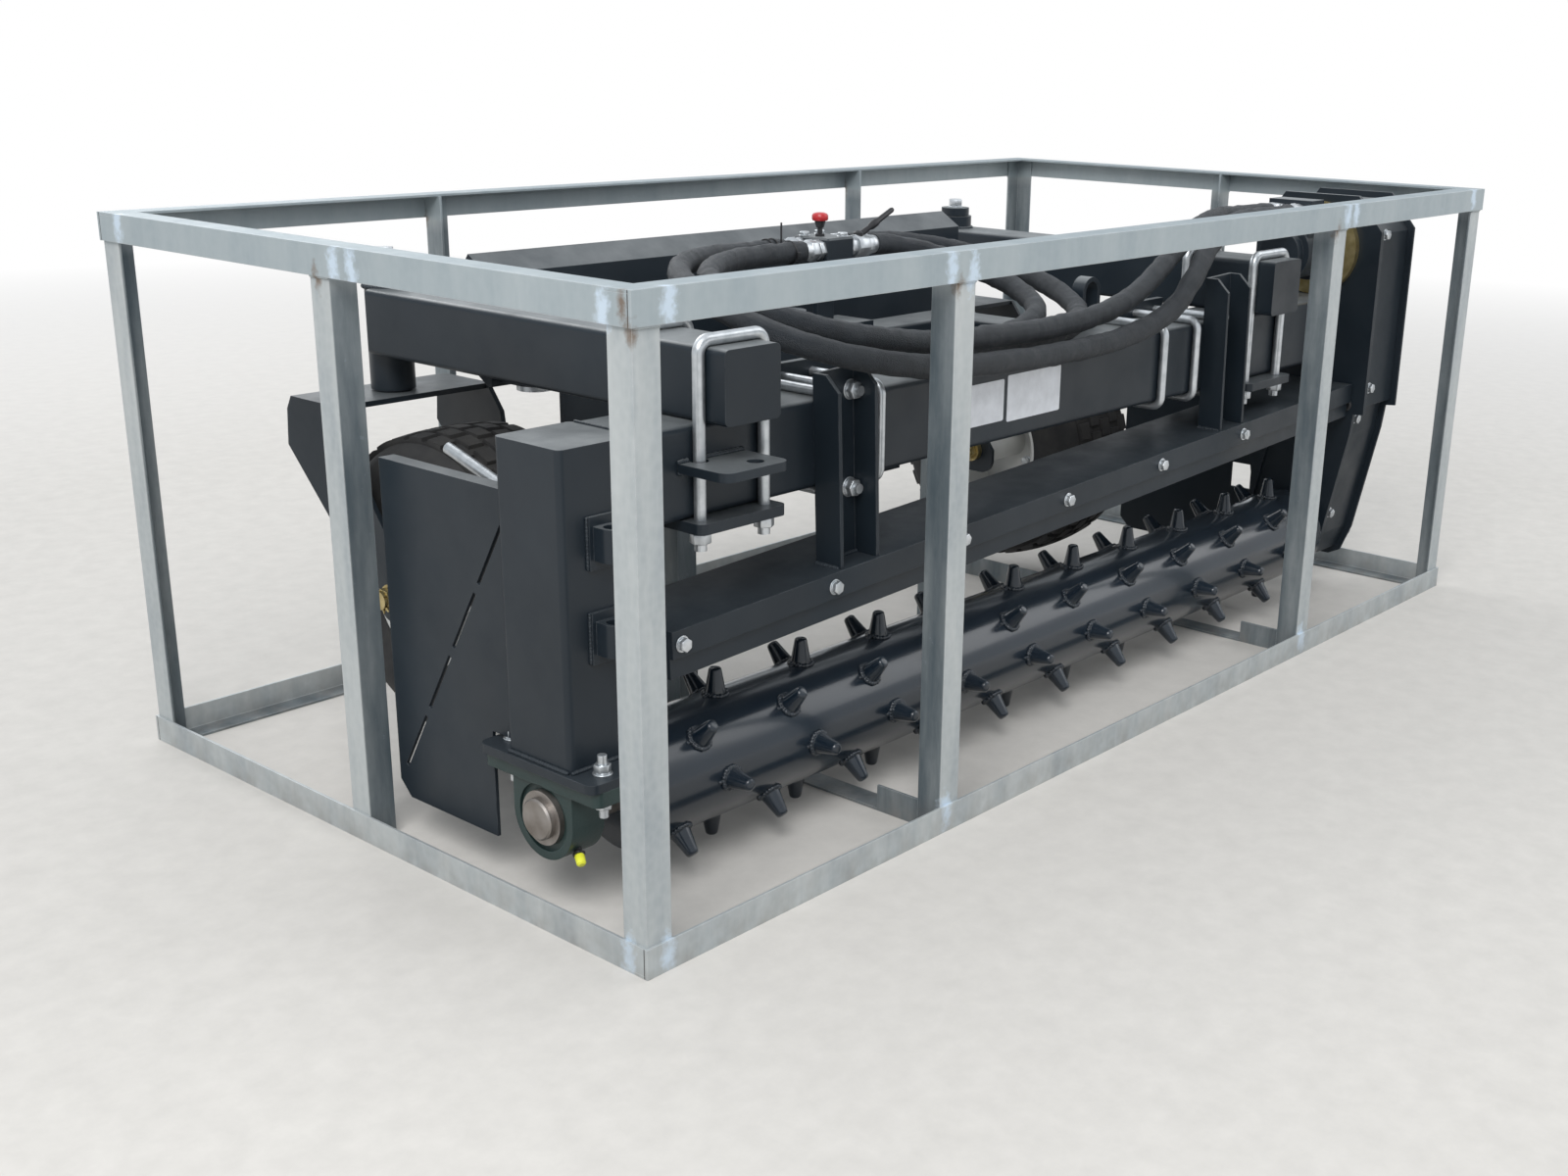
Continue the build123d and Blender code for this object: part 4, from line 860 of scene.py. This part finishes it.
lever = {"foot": (-0.126, -0.019, 0.757), "way": (0.86, -0.06, 0.42),
         "profile": [(0.0, 0.0), (0.0, 0.0060), (0.028, 0.0044), (0.034, 0.0066), (0.046, 0.0066), (0.052, 0.0048),
                     (0.087, 0.0044), (0.090, 0.0032), (0.090, 0.0)],
         "hub": [(-0.006, 0.0), (-0.006, 0.0085), (0.006, 0.0085), (0.008, 0.0060), (0.010, 0.0)]}
handle = turned(lever["profile"], 16)
hub = turned(lever["hub"], 20)
leverParts = [copyOf(handle, lever["foot"], lever["way"]), copyOf(hub, lever["foot"])]
finishPiece("valve_lever", leverParts, "frame", "black_paint", blackPlastic)
discard(handle, hub)
print("valve dressed")

# blank labels on the beam
labels = {"front": -0.4006, "back": -0.4000, "corner": 0.003,
          "places": (((-0.323, 0.521), (-0.226, 0.584)), ((-0.217, 0.517), (-0.078, 0.588)))}
plates = [slab((x0, labels["front"], z0), (x1, labels["back"], z1), labels["corner"], "Y")
          for (x0, z0), (x1, z1) in labels["places"]]
finishPiece("blank_labels", plates, "frame", "white_rim", labelVinyl)

# grease point on the left bearing, and the plug in the right end plate
greasePoint = {
    "place": (-1.062, -0.3805, 0.0935), "way": (-0.35, -0.72, -0.60), "strapAt": 0.006,
    "tube": [(-0.004, 0.0), (-0.004, 0.0055), (0.002, 0.0055), (0.003, 0.0036), (0.008, 0.0036), (0.008, 0.0)],
    "cap": [(0.007, 0.0), (0.007, 0.0054), (0.009, 0.0066), (0.020, 0.0062), (0.022, 0.0042), (0.022, 0.0)],
    "strap": [(-0.0012, 0.0062), (-0.0012, 0.0080), (0.0012, 0.0080), (0.0012, 0.0062), (-0.0012, 0.0062)],
}
platePlug = {"place": (0.862, -0.437, 0.401),
             "profile": [(-0.001, 0.0), (-0.001, 0.0135), (0.002, 0.0135), (0.004, 0.0110), (0.0045, 0.0)]}
tube, capBody, strap = (turned(greasePoint[key], 18) for key in ("tube", "cap", "strap"))
endPlug = turned(platePlug["profile"], 24)
foot, way = greasePoint["place"], greasePoint["way"]
strapPlace = [a + greasePoint["strapAt"] * b for a, b in zip(foot, way)]
finishPiece("grease_cap", [copyOf(capBody, foot, way)], "frame", "gold_zinc", yellowCap)
tubeAndPlug = [copyOf(tube, foot, way), copyOf(strap, strapPlace, way),
               copyOf(endPlug, platePlug["place"], (-1, 0, 0))]
finishPiece("grease_tube_and_plug", tubeAndPlug, "frame", "black_paint", blackPlastic)
discard(tube, capBody, strap, endPlug)
print("labels and grease cap made")

# weld beads
beadTemplate = {"radius": 0.0032, "pitch": 0.0026}
welds = {
    "lugX": ((-0.898, -0.884), (-0.856, -0.787)), "lugY": -0.4015, "lugRows": ((0.5650, 1.2), (0.5510, 1.0)),
    "bracketX": (-0.603, 0.400), "bracketHalf": 0.0415, "bracketY": (-0.440, -0.402),
    "bracketFoot": (0.033, -0.4075, 0.001, 0.002),  # half width, y, rise at its left and right
    "runs": (((-1.082, -0.4012, 0.2085), (-0.968, -0.4012, 0.2085), 1.1),
             ((-1.0862, -0.395, 0.2085), (-1.0862, -0.285, 0.2085), 1.1),
             ((-0.9645, -0.4008, 0.495), (-0.9645, -0.4008, 0.600), 0.8),
             ((-0.9645, -0.392, 0.6095), (-0.9645, -0.288, 0.6095), 0.8)),
    "loopX": -1.025, "loopHalf": 0.0225, "loopY": -0.4012, "loopZ": (0.352, 0.470),
    "rearX": (-0.474, 0.166), "rearHalf": 0.0405, "rearY": -0.2665, "rearZ": (0.526, 0.594),
    "sleeveRadius": 0.0335, "sleeveZ": 0.7045, "sleeveStep": 0.2618,
}
crateWelds = {"z": 0.7695, "size": 0.9, "posts": ((-1.111, 1), (-0.556, 1), (0.499, 1), (1.111, -1)),
              "railY": 0.5595, "run": (0.003, 0.038), "endX": 1.1115, "endRun": (-0.002, 0.035)}
clearSelection()
bpy.ops.mesh.primitive_uv_sphere_add(segments=8, ring_count=5, radius=beadTemplate["radius"])
drop = settle(bpy.context.object)
bpy.ops.object.shade_smooth()


def beadAlong(start, end, size=1.0):
    run = Vector(end) - Vector(start)
    count = max(2, int(run.length / (beadTemplate["pitch"] * size)))
    wobble = [0.88 + 0.24 * ((n * 7) % 5) / 4 for n in range(count + 1)]
    return [copyOf(drop, Vector(start) + run * (n / count), run, 0.7 * n, (size * w, size * w, size * 0.75))
            for n, w in enumerate(wobble)]


def onSleeve(x, n):
    # a point of the ring round the caster's sleeve
    a = n * welds["sleeveStep"]
    return (x + welds["sleeveRadius"] * math.cos(a), casterTop[0] + welds["sleeveRadius"] * math.sin(a),
            welds["sleeveZ"])


beads = []
for x0, x1 in welds["lugX"]:
    for z, size in welds["lugRows"]:
        beads += beadAlong((x0, welds["lugY"], z), (x1, welds["lugY"], z), size)
for x in welds["bracketX"]:
    z = barrierHeight(x)
    for side in (-1, 1):
        dx = side * welds["bracketHalf"]
        front, back = ((x + dx, y, z + dx * barrier["slope"]) for y in welds["bracketY"])
        beads += beadAlong(front, back, 1.2)
    half, y, leftRise, rightRise = welds["bracketFoot"]
    beads += beadAlong((x - half, y, z + leftRise), (x + half, y, z + rightRise), 1.2)
for start, end, size in welds["runs"]:
    beads += beadAlong(start, end, size)
for z in welds["loopZ"]:
    for side in (-1, 1):
        x = welds["loopX"] + side * welds["loopHalf"]
        beads += beadAlong((x, welds["loopY"], z - 0.010), (x, welds["loopY"], z + 0.052), 0.8)
for middle in welds["rearX"]:
    for side in (-1, 1):
        x = middle + side * welds["rearHalf"]
        low, high = ((x, welds["rearY"], z) for z in welds["rearZ"])
        beads += beadAlong(low, high, 1.1)
for x in armX:
    for n in range(24):
        beads += beadAlong(onSleeve(x, n), onSleeve(x, n + 1), 1.2)
finishPiece("weld_beads", beads, "frame", "black_paint")

railBeads = []
for x, way in crateWelds["posts"]:
    for y in (-crateWelds["railY"], crateWelds["railY"]):
        start, end = ((x + way * off, y, crateWelds["z"]) for off in crateWelds["run"])
        railBeads += beadAlong(start, end, crateWelds["size"])
for x in (-crateWelds["endX"], crateWelds["endX"]):
    start, end = ((x, y, crateWelds["z"]) for y in crateWelds["endRun"])
    railBeads += beadAlong(start, end, crateWelds["size"])
finishPiece("crate_weld_beads", railBeads, "frame", "galvanised")
discard(drop, *nuts.values())
print("welds laid")


def layFloor():
    clearSelection()
    bpy.ops.mesh.primitive_plane_add(size=studio["floorSize"])
    floor = bpy.context.object
    floor.name = "floor"
    s = Shade("floorConcrete")
    grain = s.noise(22.0, 10, 0.65)
    tone = studio["floorColour"]
    s.set(colour=s.ramp(grain, [(0.3, tuple(0.90 * c for c in tone)), (0.7, tone)]), roughness=0.9)
    distance = s.add("ShaderNodeVectorMath", operation="LENGTH")
    s.plug(s.coords, distance.inputs[0])
    far = s.remap(distance.outputs["Value"], 0.0, 1.0, studio["fadeFrom"], studio["fadeTo"])
    ray = s.add("ShaderNodeLightPath")
    seen = s.maths("MAXIMUM", ray.outputs["Is Camera Ray"], ray.outputs["Is Glossy Ray"])
    glow = s.add("ShaderNodeEmission", Color=(1.0, 1.0, 1.0, 1.0), Strength=1.0)
    blend = s.add("ShaderNodeMixShader")
    s.plug(s.maths("MULTIPLY", seen, far), blend.inputs[0])
    s.plug(s.shader.outputs[0], blend.inputs[1])
    s.plug(glow.outputs[0], blend.inputs[2])
    s.plug(blend.outputs[0], s.tree.nodes["Material Output"].inputs[0])
    floor.data.materials.append(s.mat)


def lightRoom():
    world = bpy.data.worlds.new("room")
    bpy.context.scene.world = world
    world.use_nodes = True
    tree = world.node_tree
    background = tree.nodes["Background"]
    path = tree.nodes.new("ShaderNodeLightPath")
    seen = tree.nodes.new("ShaderNodeMath")
    seen.operation = "MAXIMUM"
    tree.links.new(path.outputs["Is Camera Ray"], seen.inputs[0])
    tree.links.new(path.outputs["Is Transmission Ray"], seen.inputs[1])
    strength = tree.nodes.new("ShaderNodeMapRange")
    strength.inputs["To Min"].default_value = studio["world"]
    strength.inputs["To Max"].default_value = 1.0
    tree.links.new(seen.outputs[0], strength.inputs["Value"])
    tree.links.new(strength.outputs[0], background.inputs["Strength"])
    tint = tree.nodes.new("ShaderNodeMix")
    tint.data_type = "RGBA"
    tint.inputs[6].default_value = (*studio["skyColour"], 1.0)
    tint.inputs[7].default_value = (1.0, 1.0, 1.0, 1.0)
    tree.links.new(seen.outputs[0], tint.inputs[0])
    tree.links.new(tint.outputs[2], background.inputs["Color"])
    for name, (place, size, power) in lamps.items():
        data = bpy.data.lights.new(name, "AREA")
        data.size = size
        data.energy = power
        lamp = bpy.data.objects.new(name, data)
        bpy.context.scene.collection.objects.link(lamp)
        lamp.location = place
        lamp.rotation_euler = (Vector((0, 0, 0.4)) - Vector(place)).to_track_quat("-Z", "Y").to_euler()


layFloor()
lightRoom()
print("studio lit")
